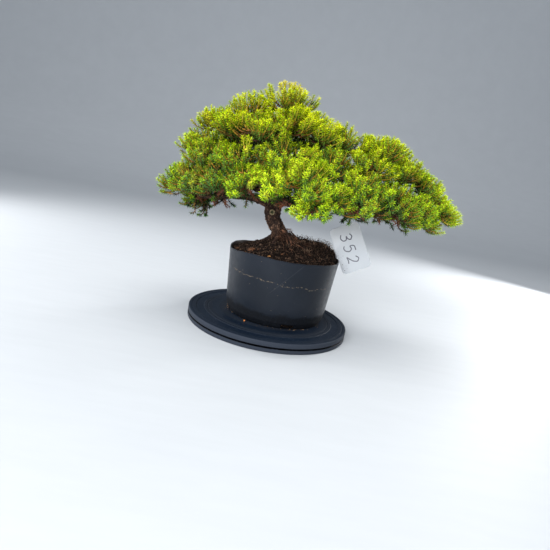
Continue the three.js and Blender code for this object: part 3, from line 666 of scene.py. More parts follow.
def needled_shoots_rule():
    """Turns open lines into stems with whorls of three needles, shorter and closer at the tip."""
    rule = Rule("needled_shoots", {"Needle": "Object", "Length": "Float", "Width": "Float",
        "Bare_from": "Float", "Step": "Float", "Outwards": "Vector", "Seed": "Int", "Look": "Material",
        "Stem_look": "Material"})
    line = rule.add("GeometryNodeMeshToCurve", {0: rule.value("Geometry")}).outputs[0]
    place = rule.add("GeometryNodeSplineParameter").outputs["Length"]
    whole = rule.add("GeometryNodeSplineLength").outputs["Length"]
    marked = rule.store(line, "from_tip", rule.minus(whole, place))
    from_tip = rule.read("from_tip")
    sun = rule.read("sun")

    # the stem: a thin three-sided tube that narrows to the tip
    # painted light: the stem's colour value takes the shoot's sun as well as its age
    stem_young_and_lit = rule.minus(sun, rule.range(from_tip, 0.004, 0.026, -0.10, 0.85))
    stem = rule.clad(rule.store(rule.strand(marked, 3), "young", stem_young_and_lit), rule.value("Stem_look"))

    # the needles: three to a whorl, each whorl turned a sixth from the last
    points = rule.add("GeometryNodeCurveToPoints", {"Curve": marked, "Length": rule.value("Step")},
        mode="LENGTH")
    straight = rule.store(points.outputs["Points"], "heading", points.outputs["Tangent"], "FLOAT_VECTOR")
    numbered = rule.store(straight, "whorl", rule.add("GeometryNodeInputIndex").outputs[0])
    last_needle = rule.times(rule.value("Bare_from"), rule.chance(0.75, 1.25, 11))
    bare = rule.math("GREATER_THAN", from_tip, last_needle)
    fallen = rule.math("LESS_THAN", rule.chance(0.0, 1.0, 12), rule.range(from_tip, 0.004, 0.018, 0.0, 0.6))
    leafless = rule.math("MAXIMUM", rule.math("MAXIMUM", bare, fallen), rule.read("bare"))
    kept = rule.without(numbered, leafless)
    threes = rule.add("GeometryNodeDuplicateElements", {"Geometry": kept, "Amount": 3}, domain="POINT")
    sixth = rule.times(rule.read("whorl"), math.pi / 3)
    third = rule.times(threes.outputs["Duplicate Index"], math.tau / 3)
    around = rule.plus(rule.plus(sixth, third), rule.chance(-0.25, 0.25, 1))
    opened = rule.range(from_tip, 0.0, 0.0030, 0.72, 1.0)
    lean = rule.plus(rule.times(opened, NEEDLE_LEAN), rule.chance(-0.16, 0.16, 2))
    heading = rule.read("heading", "FLOAT_VECTOR")
    upright = rule.add("FunctionNodeAlignRotationToVector", {"Vector": heading}, axis="Z").outputs[0]
    facing = rule.turn(rule.turn(upright, (0, 0, 1), around), (1, 0, 0), lean)
    turned_points = rule.store(threes.outputs["Geometry"], "facing", facing, "QUATERNION")
    facing = rule.read("facing", "QUATERNION")
    grown = rule.range(from_tip, 0.0, 0.003, 0.88, 1.0)
    length = rule.times(grown, rule.chance(0.82, 1.12, 3), rule.value("Length"))
    wide = rule.times(rule.value("Width"), rule.chance(0.92, 1.25, 4))
    width = rule.times(rule.math("SQRT", grown), wide)
    age = rule.range(from_tip, 0.001, 0.017, 0.0, 0.84)
    # painted light: the needles' colour value takes the shoot's sun as well as their age
    toned = rule.store(turned_points, "young", rule.plus(rule.minus(sun, age), rule.chance(-0.30, 0.30, 5)))
    # behind the tip some of the outward needles have dropped, so that the stem shows
    pointing = rule.add("FunctionNodeRotateVector", {0: (0, 0, 1), 1: facing}).outputs[0]
    outwards = rule.add("ShaderNodeVectorMath", {0: pointing, 1: rule.value("Outwards")},
        operation="DOT_PRODUCT").outputs["Value"]
    hiding = rule.math("GREATER_THAN", outwards, 0.5)
    behind = rule.math("GREATER_THAN", from_tip, 0.0055)
    dropped = rule.times(hiding, behind, rule.math("LESS_THAN", rule.chance(0.0, 1.0, 6), 0.45))
    needles = rule.copies(rule.without(toned, dropped), rule.value("Needle"), facing, width, width, length)

    both = rule.add("GeometryNodeJoinGeometry", {0: stem})
    rule.feed(both, 0, rule.clad(needles, rule.value("Look")))
    rule.feed(rule.result, 0, both.outputs[0])
    return rule


def line_piece(name, lines):
    """A piece of open lines. Each line: (points in mm, {attribute: list or one value})."""
    points, edges, carried = [], [], {}
    for path, facts in lines:
        first = len(points)
        points.extend(path)
        edges.extend((first + i, first + i + 1) for i in range(len(path) - 1))
        for key, value in facts.items():
            values = value if isinstance(value, list) else [value] * len(path)
            carried.setdefault(key, []).extend(values)
    mesh = bpy.data.meshes.new(name)
    mesh.from_pydata([tuple(c * MM for c in p) for p in points], edges, [])
    carry(mesh, carried)
    return placed(name, mesh)


def stem_line(path, thick, taper, sun, blush=0.0, bare=0.0):
    """A line for the rule of shoots, with what its points carry."""
    girth = [(thick - taper * k) * MM for k in range(len(path))]
    return path, {"girth": girth, "sun": sun, "blush": blush, "bare": bare}


def curve(start, turn, end, steps):
    return [bezier(start, turn, end, k / steps) for k in range(steps + 1)]


def gathered(plan, draw):
    """The spray's shoots drawn together into clumps with gaps between, and each clump's own brightness."""
    shoots = shoots_of(plan)
    leads = [shoots[0]] + [shoots[7 + 2 * k] for k in range(CLUMPS - 1)]
    lit = [0.24 * (draw() - 0.5) for lead in leads]
    bunched = []
    for start, turn, tip, heading in shoots:
        near = min(range(CLUMPS), key=lambda k: (leads[k][2] - tip).length)
        pull = (leads[near][2] - tip) * GATHERED
        away = (leads[near][2] - tip).length * (1 - GATHERED)
        tip = tip + pull - heading * (DROOP * away * away)
        bunched.append((start, turn + pull * 0.5, tip, heading, lit[near]))
    return bunched


def fan_lines(shoot, out, draw):
    """A main shoot and the side fingers that fork from it, spread like a fan that faces outwards."""
    start, turn, tip, heading, lit = shoot
    end = tip - heading * TIP_NEEDLES
    height = (tip.z - CROWN_FOOT) / CROWN_RISE
    # the brow in front and the tips at the far right stand in full light
    front = unit((-tip.y - 58) / 30) * unit((tip.x + 50) / 25)
    far_right = unit((tip.x - 170) / 22)
    sun = 0.40 + 0.20 * max(0.0, heading.z) + 0.33 * height + 0.21 * front + 0.30 * far_right
    sun = sun + lit + 0.14 * (draw() - 0.5)
    blush = 0.22 if draw() < 0.04 else 0.04 * draw()
    lines = [stem_line(curve(start, turn, end, 5), 1.15, 0.10, sun, blush)]
    level = heading.cross(out)
    if level.length < 0.2:
        level = heading.orthogonal()
    twist = Matrix.Rotation(1.1 * (draw() - 0.5), 3, heading)
    level = twist @ level.normalized()
    depth = heading.cross(level)
    for i in range(FINGERS):
        way = 1 if i % 2 else -1
        gap = FINGER_GAP * (0.85 + 0.3 * draw()) * (1 + 0.75 * (i // 2))
        outward = level * way + depth * (0.9 * (draw() - 0.5))
        foot = bezier(start, turn, end, 0.42 - 0.08 * i + 0.06 * draw())
        far = end + outward * gap - heading * (0.8 + 1.6 * (i // 2) + 3.6 * draw())
        aim = (heading + outward * 0.40).normalized()
        knee = far - aim * ((far - foot).length * 0.62)
        lines.append(stem_line(curve(foot, knee, far, 4), 0.90, 0.08, sun - 0.10 * draw(), blush))
    return lines


def inner_lines(plan, draw):
    """Short shaded shoots along the twig below a spray."""
    twig = smoothed(twig_to(plan), STEPS_OF_TWIG)
    lines = []
    for i in range(INNER_SHOOTS):
        at = 1 + i * 11 // INNER_SHOOTS
        spot = twig[at][0]
        along = (twig[at + 1][0] - spot).normalized()
        turn = Matrix.Rotation(GOLDEN_ANGLE * i + plan["seed"], 3, along)
        outward = turn @ along.orthogonal().normalized()
        aim = (outward * 0.7 + along * 0.5 + Vector((0, 0, 0.35))).normalized()
        length = 13 + 11 * draw()
        far = spot + aim * length + Vector((0, 0, 0.18 * length))
        knee = spot + aim * (0.5 * length)
        lines.append(stem_line(curve(spot, knee, far, 3), 0.45, 0.0, 0.18 + 0.2 * draw()))
    return lines


def tuft_lines(name, plan):
    """The smaller fans that stand on side twigs of a spray."""
    lines = []
    for number, (bearer, x, y, z, reach, spread, shade) in enumerate(TUFTS):
        if bearer != name:
            continue
        tuft = spray_plan((x, y, z, reach, spread), 60 + number)
        draw = draws_from(700 + number)
        foot = tuft["base"] - tuft["out"] * 4
        end = tuft["base"] + tuft["out"] * (0.3 * reach)
        lines.append(stem_line(curve(plan["base"], foot, end, 6), 1.1, 0.06, 0.2, bare=1.0))
        for *shoot, lit in gathered(tuft, draw)[::2]:
            lines += fan_lines((*shoot, lit - shade), tuft["out"], draw)
    return lines


def foliage(name, plan):
    """All that stands on one spray's twig, as one piece."""
    draw = draws_from(900 + plan["seed"])
    lines = []
    for shoot in gathered(plan, draw):
        lines += fan_lines(shoot, plan["out"], draw)
    lines += inner_lines(plan, draw)
    lines += tuft_lines(name, plan)
    base, out, reach = plan["base"], plan["out"], plan["reach"]
    stem = [base + out * (0.4 + reach * 0.34 * k / 4) for k in range(5)]
    lines.append(stem_line(stem, 1.5, 0.1, 0.25, bare=1.0))
    piece = line_piece("foliage_" + name, lines)
    RULE_OF_SHOOTS.run(piece, Needle=NEEDLE_FORM, Step=1.1 * MM, Length=4.8 * MM, Width=4.0 * MM,
        Bare_from=30.0 * MM, Outwards=tuple(out), Seed=plan["seed"], Look=NEEDLE, Stem_look=YOUNG_STEM)
    return settle(piece, "top", "needles", "spray_" + name)


def withered_piece():
    """Dead inner shoots that hang on below the crown, gone brown."""
    draw = draws_from(55)
    lines = []
    for name in WITHERED:
        plan = spray_plan(SPRAYS[name], list(SPRAYS).index(name))
        twig = smoothed(twig_to(plan), STEPS_OF_TWIG)
        for i in range(9):
            at = 3 + (i * 8) // 9
            spot = twig[at][0]
            angle = math.tau * draw()
            aim = Vector((math.cos(angle), math.sin(angle) - 0.5, -0.55 + 0.5 * draw())).normalized()
            length = 7 + 9 * draw()
            far = spot + aim * length + Vector((0, 0, 2 * (draw() - 0.5)))
            knee = spot + aim * (0.5 * length) + Vector((0, 0, 1.5))
            bare = 1.0 if draw() < 0.2 else 0.0
            lines.append(stem_line(curve(spot, knee, far, 3), 0.5, 0.0, 0.3, bare=bare))
    piece = line_piece("withered_shoots", lines)
    RULE_OF_SHOOTS.run(piece, Needle=NEEDLE_FORM, Step=1.6 * MM, Length=4.2 * MM, Width=3.8 * MM,
        Bare_from=14.0 * MM, Seed=5, Look=DEAD_NEEDLE, Stem_look=DEAD_NEEDLE)
    return settle(piece, "top", "bark")


# Wood
TRUNK = [(8, 5, 80, 9), (6, 4, 93, 10), (3, 3, 105, 10.5), (-4, 2, 115, 9.6), (-11, 1, 125, 9.4),
    (-16.7, 1, 137, 10.4), (-16, 3, 148, 9.8), (-12, 5, 160, 8.6), (-13, 7, 177, 7), (-18, 8, 195, 5.4),
    (-18, 8, 214, 3.8), (-22, 8, 232, 2.4)]
ROOTS = [[(-2, -3, 118, 4.2), (7, -7, 113, 3.2), (14, -9, 107.5, 2.6), (21, -13, 100, 2.2),
    (26, -17, 92, 1.8)], [(-3, -4, 114, 4), (-6, -13, 107, 3), (-10, -22, 97, 2.2)],
    [(-6, 3, 113, 4), (-20, 4, 102.5, 3), (-36, 6, 92, 2.2)],
    [(2, 6, 113, 5), (18, 18, 107, 3.8), (34, 26, 96, 2.4)],
    [(-2, 8, 112, 5), (-5, 24, 103, 3.6), (-9, 38, 92, 2.2)]]
BRANCHES = {"left_low": [(-17, 1, 145, 5.5), (-42, -4, 150, 4.6), (-76, -8, 147, 3.6), (-98, -7, 143, 2.8),
    (-112, -5, 140, 2.2)], "right_low": [(-13, 4, 151, 6), (22, -6, 158, 5.2), (66, -8, 163, 4.4),
    (112, -4, 164, 3.4), (150, 0, 158, 2.6), (168, 0, 157, 2)],
    "brow": [(-15, 2, 150, 5), (2, -26, 154, 4), (14, -46, 150, 3.2), (18, -58, 149, 2.4)],
    "front_left": [(-14, 3, 154, 4.6), (-38, -24, 162, 3.6), (-62, -38, 162, 2.8)],
    "front_right": [(30, -6, 159, 4.2), (54, -32, 164, 3.4), (84, -40, 166, 2.6)],
    "left_high": [(-13, 7, 172, 4.6), (-48, 4, 188, 3.8), (-88, -2, 198, 2.8)],
    "right_high": [(-13, 7, 178, 4.8), (24, 4, 192, 4), (66, 0, 200, 3.2), (104, 2, 196, 2.4)],
    "back_left": [(-13, 6, 166, 4.4), (-44, 32, 176, 3.6), (-74, 44, 176, 2.6)],
    "back_right": [(-12, 6, 168, 4.6), (18, 36, 176, 3.8), (56, 46, 168, 3), (94, 42, 160, 2.2)]}
# The pruning scar in front: its middle, and the middle of the ring of callus round it.
SCAR = Vector((-16.6, -11.4, 138.4))
SCAR_RING = 2.7
ROOTS_TOP = 116
SKIN_GRAIN = 0.95


def smoothed(points, steps):
    """Even steps along a centripetal spline through points; the last number of each is its radius."""
    places = [np.array(p, dtype=float) for p in points]
    count = len(places)
    path = []
    for i in range(steps + 1):
        at = (count - 1) * i / steps
        low = min(int(at), count - 2)
        t = at - low
        p1, p2 = places[low][:-1], places[low + 1][:-1]
        p0 = places[low - 1][:-1] if low > 0 else 2 * p1 - p2
        p3 = places[low + 2][:-1] if low + 2 < count else 2 * p2 - p1
        d0, d1, d2 = (max(1e-4, np.linalg.norm(b - a) ** 0.5) for a, b in ((p0, p1), (p1, p2), (p2, p3)))
        m1 = ((p1 - p0) / d0 - (p2 - p0) / (d0 + d1) + (p2 - p1) / d1) * d1
        m2 = ((p2 - p1) / d1 - (p3 - p1) / (d1 + d2) + (p3 - p2) / d2) * d1
        spot = p1 + m1 * t + (3 * (p2 - p1) - 2 * m1 - m2) * t**2 + (2 * (p1 - p2) + m1 + m2) * t**3
        radius = places[low][-1] * (1 - t) + places[low + 1][-1] * t
        path.append((Vector(spot) if len(spot) == 3 else spot, radius))
    return path


def tube(path, sides):
    """A closed tube round (point, radius) pairs: its points, its faces and no facts."""
    points, faces = [], []
    side = None
    for i, (spot, radius) in enumerate(path):
        before, after = path[max(0, i - 1)][0], path[min(len(path) - 1, i + 1)][0]
        along = (after - before).normalized()
        if side is None:
            side = Vector((0, 0, 1)) if abs(along.z) < 0.9 else Vector((1, 0, 0))
        side = (side - along * side.dot(along)).normalized()
        across = along.cross(side)
        for angle in angles(sides):
            points.append(spot + (side * math.cos(angle) + across * math.sin(angle)) * radius)
        for k in range(sides if i else 0):
            a, b = (i - 1) * sides + k, (i - 1) * sides + (k + 1) % sides
            faces.append((a, b, b + sides, a + sides))
    faces.append(tuple(reversed(range(sides))))
    faces.append(tuple(len(points) - sides + k for k in range(sides)))
    return points, faces, {}


def twig_to(plan):
    """The twig from the nearest branch to a spray, arriving along the spray's own direction."""
    base, out = plan["base"], plan["out"]
    aim = base - out * TWIG_REACH
    best = None
    for points in list(BRANCHES.values()) + [TRUNK[6:]]:
        for first, second in zip(points, points[1:]):
            a, b = Vector(first[:3]), Vector(second[:3])
            share = unit((aim - a).dot(b - a) / (b - a).length_squared)
            spot = a.lerp(b, share)
            if best is None or (spot - aim).length < best[0]:
                best = ((spot - aim).length, spot, second[3])
    spot = best[1]
    arrival = base - out * 6
    middle = spot.lerp(arrival, 0.5) - out * (0.15 * (arrival - spot).length)
    thick = min(best[2] * 0.8, 2.2)
    return [(*spot, thick), (*middle, thick * 0.85), (*arrival, 1.6), (*base, 1.4),
        (*(base + out * 2), 1.3)]


def barked(mesh, amount, scar=False):
    """Raises long flaking plates on wood and marks the fissures between them."""
    spots, normals = np.empty((2, len(mesh.vertices) * 3))
    mesh.vertices.foreach_get("co", spots)
    mesh.vertices.foreach_get("normal", normals)
    spots, normals = spots.reshape(-1, 3) / MM, normals.reshape(-1, 3)
    fissures, rooty, ring, heart = [], [], [], []
    for i, (spot, normal) in enumerate(zip(spots, normals)):
        seat = Vector((spot[0] * 0.30, spot[1] * 0.30, spot[2] * 0.13))
        plates = turbulence(seat, 0.6, 2.3)
        fine = noise.noise(Vector((spot[0] * 1.3, spot[1] * 1.3, spot[2] * 0.4)))
        rise = (plates - 0.55) * 2.0 * amount + 0.25 * fine * amount
        deep = max(0.0, min(0.8, (0.36 - plates) * 5))
        away = (Vector(spot) - SCAR).length if scar else 99
        if away < 6:
            fade = unit((away - 3.1) / 2.0)
            lip, hollow = math.exp(-(((away - SCAR_RING) / 0.7) ** 2)), max(0.0, 1 - away / 2.1)
            rise = rise * fade + 0.5 * lip - 0.8 * hollow
            deep *= fade
        ring.append(unit(2.2 - 1.8 * abs(away - SCAR_RING) + 0.6 * fine))
        heart.append(unit((2.2 - away) * 2))
        fissures.append(deep)
        rooty.append(unit((ROOTS_TOP - spot[2]) / 9))
        spots[i] += normal * rise
    mesh.vertices.foreach_set("co", (spots * MM).ravel())
    carry(mesh, {"fissure": fissures, "rooty": rooty, "scar": ring, "scar_heart": heart})
    soften(mesh)
    mesh.update()


def trunk_piece():
    parts = [tube(smoothed(TRUNK, 60), 24)]
    parts += [tube(smoothed(root, 18), 12) for root in ROOTS]
    stub = [(Vector((-16.4, -5, 138)), 3.9), (Vector((-16.5, -10.4, 138.3)), 3.6), (SCAR, 3.1)]
    parts.append(tube(stub, 20))
    piece = merged_piece("trunk_bark", parts, BARK)
    skin = piece.modifiers.new("skin", "REMESH")
    skin.mode = "VOXEL"
    skin.voxel_size = SKIN_GRAIN * MM
    soft = piece.modifiers.new("soft", "SMOOTH")
    soft.iterations = 4
    evaluated(piece)
    if not piece.data.materials:
        piece.data.materials.append(BARK)
    barked(piece.data, 0.6, scar=True)
    return settle(piece, "top", "bark", "trunk_and_branches")


def girthed(path):
    """A line for the rule of strands, from (point, radius) pairs."""
    return [p for p, r in path], {"girth": [r * MM for p, r in path]}


def limbs_piece():
    lines = []
    for points in BRANCHES.values():
        lines.append(girthed(smoothed(points, 8 * (len(points) - 1))))
    for number, spray in enumerate(SPRAYS.values()):
        lines.append(girthed(smoothed(twig_to(spray_plan(spray, number)), 14)))
    piece = line_piece("branch_bark", lines)
    RULE_OF_STRANDS.run(piece, Sides=9, Look=BARK)
    barked(piece.data, 0.45)
    return settle(piece, "top", "bark", "trunk_and_branches")


def strands_rule():
    """Turns open lines into closed round strands with the girth each point carries."""
    rule = Rule("strands", {"Sides": "Int", "Look": "Material"})
    line = rule.add("GeometryNodeMeshToCurve", {0: rule.value("Geometry")}).outputs[0]
    rule.feed(rule.result, 0, rule.clad(rule.strand(line, rule.value("Sides")), rule.value("Look")))
    return rule


def litter_rule():
    """Strews one form over a surface, turned and sized at random and half sunk into it."""
    rule = Rule("litter", {"Form": "Object", "Density": "Float", "Small": "Float", "Large": "Float",
        "Flatness": "Float", "Tilt": "Float", "Seed": "Int", "Look": "Material"})
    feeds = {"Mesh": rule.value("Geometry"), "Seed": rule.value("Seed"),
        "Density": rule.times(rule.value("Density"), rule.read("litter"))}
    spots = rule.add("GeometryNodeDistributePointsOnFaces", feeds, distribute_method="RANDOM").outputs
    toned = rule.store(spots["Points"], "tone", rule.math("POWER", rule.chance(0.0, 0.95, 7), 2.6))
    facing = rule.turn(spots["Rotation"], (0, 0, 1), rule.chance(0.0, 6.283, 8))
    facing = rule.turn(facing, (1, 0, 0), rule.times(rule.value("Tilt"), rule.chance(-1.0, 1.0, 9)))
    facing = rule.turn(facing, (0, 1, 0), rule.times(rule.value("Tilt"), rule.chance(-1.0, 1.0, 10)))
    spread = rule.minus(rule.value("Large"), rule.value("Small"))
    grown = rule.times(spread, rule.math("POWER", rule.chance(0.0, 1.0, 11), 2.5))
    size = rule.plus(rule.value("Small"), grown)
    strewn = rule.copies(toned, rule.value("Form"), facing, rule.times(size, rule.chance(0.6, 1.3, 12)),
        size, rule.times(size, rule.value("Flatness")))
    rule.feed(rule.result, 0, rule.clad(strewn, rule.value("Look")))
    return rule


def chip_form():
    """A flat splinter with a ragged outline, about 1 m long."""
    draw = draws_from(41)
    outline = []
    for angle in angles(7):
        x = 0.5 * math.cos(angle) * (0.8 + 0.35 * draw())
        outline.append((x, 0.28 * math.sin(angle) * (0.7 + 0.5 * draw())))
    low = [(x, y, -0.09) for x, y in outline]
    high = [(x * 0.86, y * 0.8, 0.09 + 0.05 * draw()) for x, y in outline]
    sides = [(k, (k + 1) % 7, 7 + (k + 1) % 7, 7 + k) for k in range(7)]
    return form_of("chip_form", low + high, sides + [tuple(reversed(range(7))), tuple(range(7, 14))])


def lump_form():
    """A rough crumb, about 1 m across."""
    draw = draws_from(43)
    rings = [[], [], []]
    for j, (height, radius) in enumerate(((-0.3, 0.36), (0.02, 0.5), (0.32, 0.33))):
        for k in range(6):
            angle = math.tau * (k + 0.5 * j) / 6
            wide = radius * (0.75 + 0.5 * draw())
            x, y = wide * math.cos(angle), wide * math.sin(angle)
            rings[j].append((x, y, height + 0.16 * (draw() - 0.5)))
    points = rings[0] + rings[1] + rings[2] + [(0, 0, -0.46), (0, 0, 0.45)]
    faces = []
    for k in range(6):
        n = (k + 1) % 6
        faces += [(18, n, k), (19, 12 + k, 12 + n)]
        for low in (0, 6):
            faces += [(low + k, low + n, low + 6 + n), (low + k, low + 6 + n, low + 6 + k)]
    return form_of("lump_form", points, faces)


# Pot, soil and what lies on it
def pot_radius(height):
    """The pot's outside radius at a height above the turntable."""
    if height < 1:
        return 57.5 + 1.5 * height
    if height < 7:
        return 59.0 + 2.6 * (height - 1) / 6
    if height < 16:
        return 61.6 + 1.7 * (height - 7) / 9
    return 63.3 + 0.074 * (height - 16)


def rim_height(angle):
    dip = math.cos(angle - math.radians(-158))
    return POT_HEIGHT - 4.5 * max(0, dip) ** 4 + 1.1 * math.sin(2 * angle + 0.4) + 0.5 * math.sin(5 * angle)


def soil_edge(angle):
    return rim_height(angle) - SOIL_EDGE_DROP + 2 * max(0, math.cos(angle - math.radians(-85)))


def soil_height(angle, share):
    """The mound round the trunk and the one behind the label, as in the solids."""
    radius = share * (pot_radius(78) - POT_WALL)
    x, y = radius * math.cos(angle), radius * math.sin(angle)
    level = soil_edge(angle) * math.sqrt(share) + (POT_HEIGHT - SOIL_EDGE_DROP) * (1 - math.sqrt(share))
    mound = SOIL_MOUND * math.exp(-(((x + 6) / 40) ** 2) - (y / 42) ** 2) * (1 - share**6)
    right = SOIL_RIGHT * math.exp(-(((x - 48) / 32) ** 2) - ((y - 8) / 30) ** 2) * (1 - share**20)
    lumps = 1.4 * math.sin(x * 0.31 + 2 * math.sin(y * 0.23)) * math.cos(y * 0.37 + x * 0.11)
    return level + mound + right + lumps * (1 - share**4)


def soil_at(x, y):
    """Height of the soil over a point of the frame."""
    dx, dy = x - POT_AT[0], y - POT_AT[1]
    share = min(1.0, math.hypot(dx, dy) / (pot_radius(78) - POT_WALL))
    return TABLE_TOP + soil_height(math.atan2(dy, dx), share)


def by_pot(angle, radius):
    """A place of the frame, from the pot's axis."""
    return POT_AT[0] + radius * math.cos(angle), POT_AT[1] + radius * math.sin(angle)


def turned(profile_at, sides, at=(0, 0, 0)):
    """A piece turned round a vertical axis: the profile, from axis to axis, may change with the angle."""
    columns = [(angle, profile_at(angle)) for angle in angles(sides)]
    rows, foot, head = len(columns[0][1]), columns[0][1][0][1], columns[0][1][-1][1]
    points = []
    for j in range(1, rows - 1):
        for angle, profile in columns:
            radius, height = profile[j]
            x, y = at[0] + radius * math.cos(angle), at[1] + radius * math.sin(angle)
            points.append((x, y, at[2] + height))
    faces = bands(rows - 2, sides)
    last = (rows - 3) * sides
    count = len(points)
    points += [(at[0], at[1], at[2] + foot), (at[0], at[1], at[2] + head)]
    for k in range(sides):
        n = (k + 1) % sides
        faces += [(count, n, k), (count + 1, last + k, last + n)]
    return points, faces


def crisp(piece, degrees=32):
    """Keeps the edges sharp that turn more than this."""
    piece.data.set_sharp_from_angle(angle=math.radians(degrees))
    return piece


def pot_piece():
    heights = [0, 0.5, 1, 3, 5, 6.6, 7, 7.4, 10, 13, 15.6, 16, 16.4, 22, 34, 46, 58, 70]

    def profile(angle):
        rim = rim_height(angle) + 0.16 * math.sin(23 * angle) + 0.10 * math.sin(61 * angle + 1)
        wide = pot_radius(rim)
        outside = [(pot_radius(h), h) for h in heights]
        edge = [(wide, rim - 0.25), (wide - 0.25, rim)]
        edge += [(wide - POT_WALL + 0.25, rim), (wide - POT_WALL, rim - 0.25)]
        inside = [(pot_radius(h) - POT_WALL, h) for h in (46, 16, POT_FLOOR)]
        return [(0, 0)] + outside + edge + inside + [(0, POT_FLOOR)]

    points, faces = turned(profile, 144, (*POT_AT, TABLE_TOP))
    piece = mesh_piece("pot_shell", points, faces, POT)
    cutters = []
    box = [(0, 1, 3, 2), (4, 6, 7, 5), (0, 4, 5, 1), (2, 3, 7, 6), (0, 2, 6, 4), (1, 5, 7, 3)]
    depth = (pot_radius(3) - 6, pot_radius(3) + 4)
    sizes = (depth, (-HOLE_WIDTH / 2, HOLE_WIDTH / 2), (HOLE_LOW, HOLE_HIGH))
    for i in range(4):
        turn = Matrix.Rotation(HOLE_FIRST + math.pi / 2 * i, 3, "Z")
        corners = [turn @ Vector(c) + Vector((*POT_AT, TABLE_TOP)) for c in itertools.product(*sizes)]
        cutter = mesh_piece("slot_cutter", corners, box, POT, rounded=False)
        cutters.append(cutter)
        slot = piece.modifiers.new("slot", "BOOLEAN")
        slot.operation = "DIFFERENCE"
        slot.solver = "EXACT"
        slot.object = cutter
    evaluated(piece)
    for cutter in cutters:
        bpy.data.objects.remove(cutter)
    crisp(piece, 40)
    return settle(piece, "top", "pot", "pot")


def soil_piece():
    sides, rings = 200, 62
    clear, floor = POT_WALL + FIT_GAP, POT_FLOOR + FIT_GAP

    def profile(angle):
        edge = soil_edge(angle)
        top = []
        for ring in range(rings, 0, -1):
            share = ring / rings
            radius = share * (pot_radius(edge) - clear)
            x, y = radius * math.cos(angle), radius * math.sin(angle)
            seat = Vector((x * 0.42, y * 0.42, 3.1))
            rough = turbulence(seat, 0.7, 2.2)
            wide = noise.noise(Vector((x * 0.11, y * 0.11, 8.5)))
            crumb = (rough - 0.5) * 2.6 + wide * 1.6
            top.append((radius, soil_height(angle, share) + crumb * min(1.0, (1 - share) * 9 + 0.25) - 0.4))
        side = [(pot_radius(h) - clear, h) for h in (floor, 16, 60)]
        return [(0, floor)] + side + top + [(0, soil_height(0, 0) + 0.4)]

    points, faces = turned(profile, sides, (*POT_AT, TABLE_TOP))
    return settle(mesh_piece("peat", points, faces, PEAT), "top", "soil", "soil")


def strewn_over_soil(name, form, density, small, large, flatness, tilt, seed, look):
    """Strews a form over the open soil."""
    points, litter = [], []
    rings, sides = 14, 48
    for ring in range(rings + 1):
        share = 0.04 + 0.93 * ring / rings
        for angle in angles(sides):
            spot = by_pot(angle, share * (pot_radius(80) - POT_WALL))
            points.append((*spot, TABLE_TOP + soil_height(angle, share) + 0.2))
            litter.append(0.6 + 0.4 * share)
    faces = bands(rings + 1, sides, inward=True)
    piece = mesh_piece(name, points, faces, look, facts={"litter": litter})
    RULE_OF_LITTER.run(piece, Form=form, Density=density, Small=small * MM, Large=large * MM,
        Flatness=flatness, Tilt=tilt, Seed=seed, Look=look)
    return settle(piece, "top", "soil")


def copy_of(form, spot, turn, size, tone):
    """The points, faces and facts of a form set down in one place."""
    points = [spot + turn @ (v.co * size) for v in form.data.vertices]
    return points, [tuple(p.vertices) for p in form.data.polygons], {"tone": [tone] * len(points)}


def placed_chips():
    """The few chips that stand out: each with its place, length, turn and tone."""
    parts = []
    chips = [(-32, -31, 9.5, 0.35, 0.70), (-24, -35, 5.0, 1.2, 0.58), (-10, -53, 3.6, 0.1, 1.0),
        (26, -40, 5.5, 2.4, 0.40), (4, -44, 4.4, 0.9, 0.66), (36, -26, 5.0, 1.9, 0.52),
        (-50, -12, 4.2, 0.5, 0.62), (48, -34, 4.0, 0.2, 0.36)]
    for x, y, length, turn, tone in chips:
        lean = Euler((0.35, -0.15, turn)).to_matrix()
        spot = Vector((x, y, soil_at(x, y) + 0.9))
        parts.append(copy_of(CHIP_FORM, spot, lean, length, tone))
    return settle(merged_piece("loose_chips", parts, CHIP, rounded=False), "top", "soil")


def fibre_lines():
    """Fine peat fibres and hair roots: many short curling lines over the soil, most on the right."""
    draw = draws_from(77)
    lines = []
    for i in range(1000):
        hairy = i < 300
        if hairy:
            x, y = 2 + 62 * draw(), -26 + 58 * draw()
        else:
            angle, radius = math.tau * draw(), (OPEN_SOIL - 1) * math.sqrt(draw())
            x, y = by_pot(angle, radius)
        if math.hypot(x - POT_AT[0], y - POT_AT[1]) > OPEN_SOIL:
            continue
        heading = math.tau * draw()
        curl = (draw() - 0.5) * 1.9
        rise = (1.4 + 5.2 * draw() ** 1.5) if hairy else (0.35 + 0.5 * draw())
        step = (1.1 + 0.8 * draw()) if hairy else (0.7 + 0.6 * draw())
        count = 7 if hairy else 5
        path = []
        for k in range(count):
            share = k / (count - 1)
            up = rise * math.sin(math.pi * min(1.0, share * 1.15)) - 0.5 * (share > 0.9)
            path.append(Vector((x, y, soil_at(x, y) + up + 0.1)))
            heading += curl * (0.6 + 0.8 * draw())
            x += step * math.cos(heading)
            y += step * math.sin(heading)
        thick = (0.13 + 0.13 * draw()) if hairy else (0.09 + 0.14 * draw() ** 2)
        lines.append((path, {"girth": [thick * MM * (1 - 0.5 * k / (count - 1)) for k in range(count)]}))
    return lines


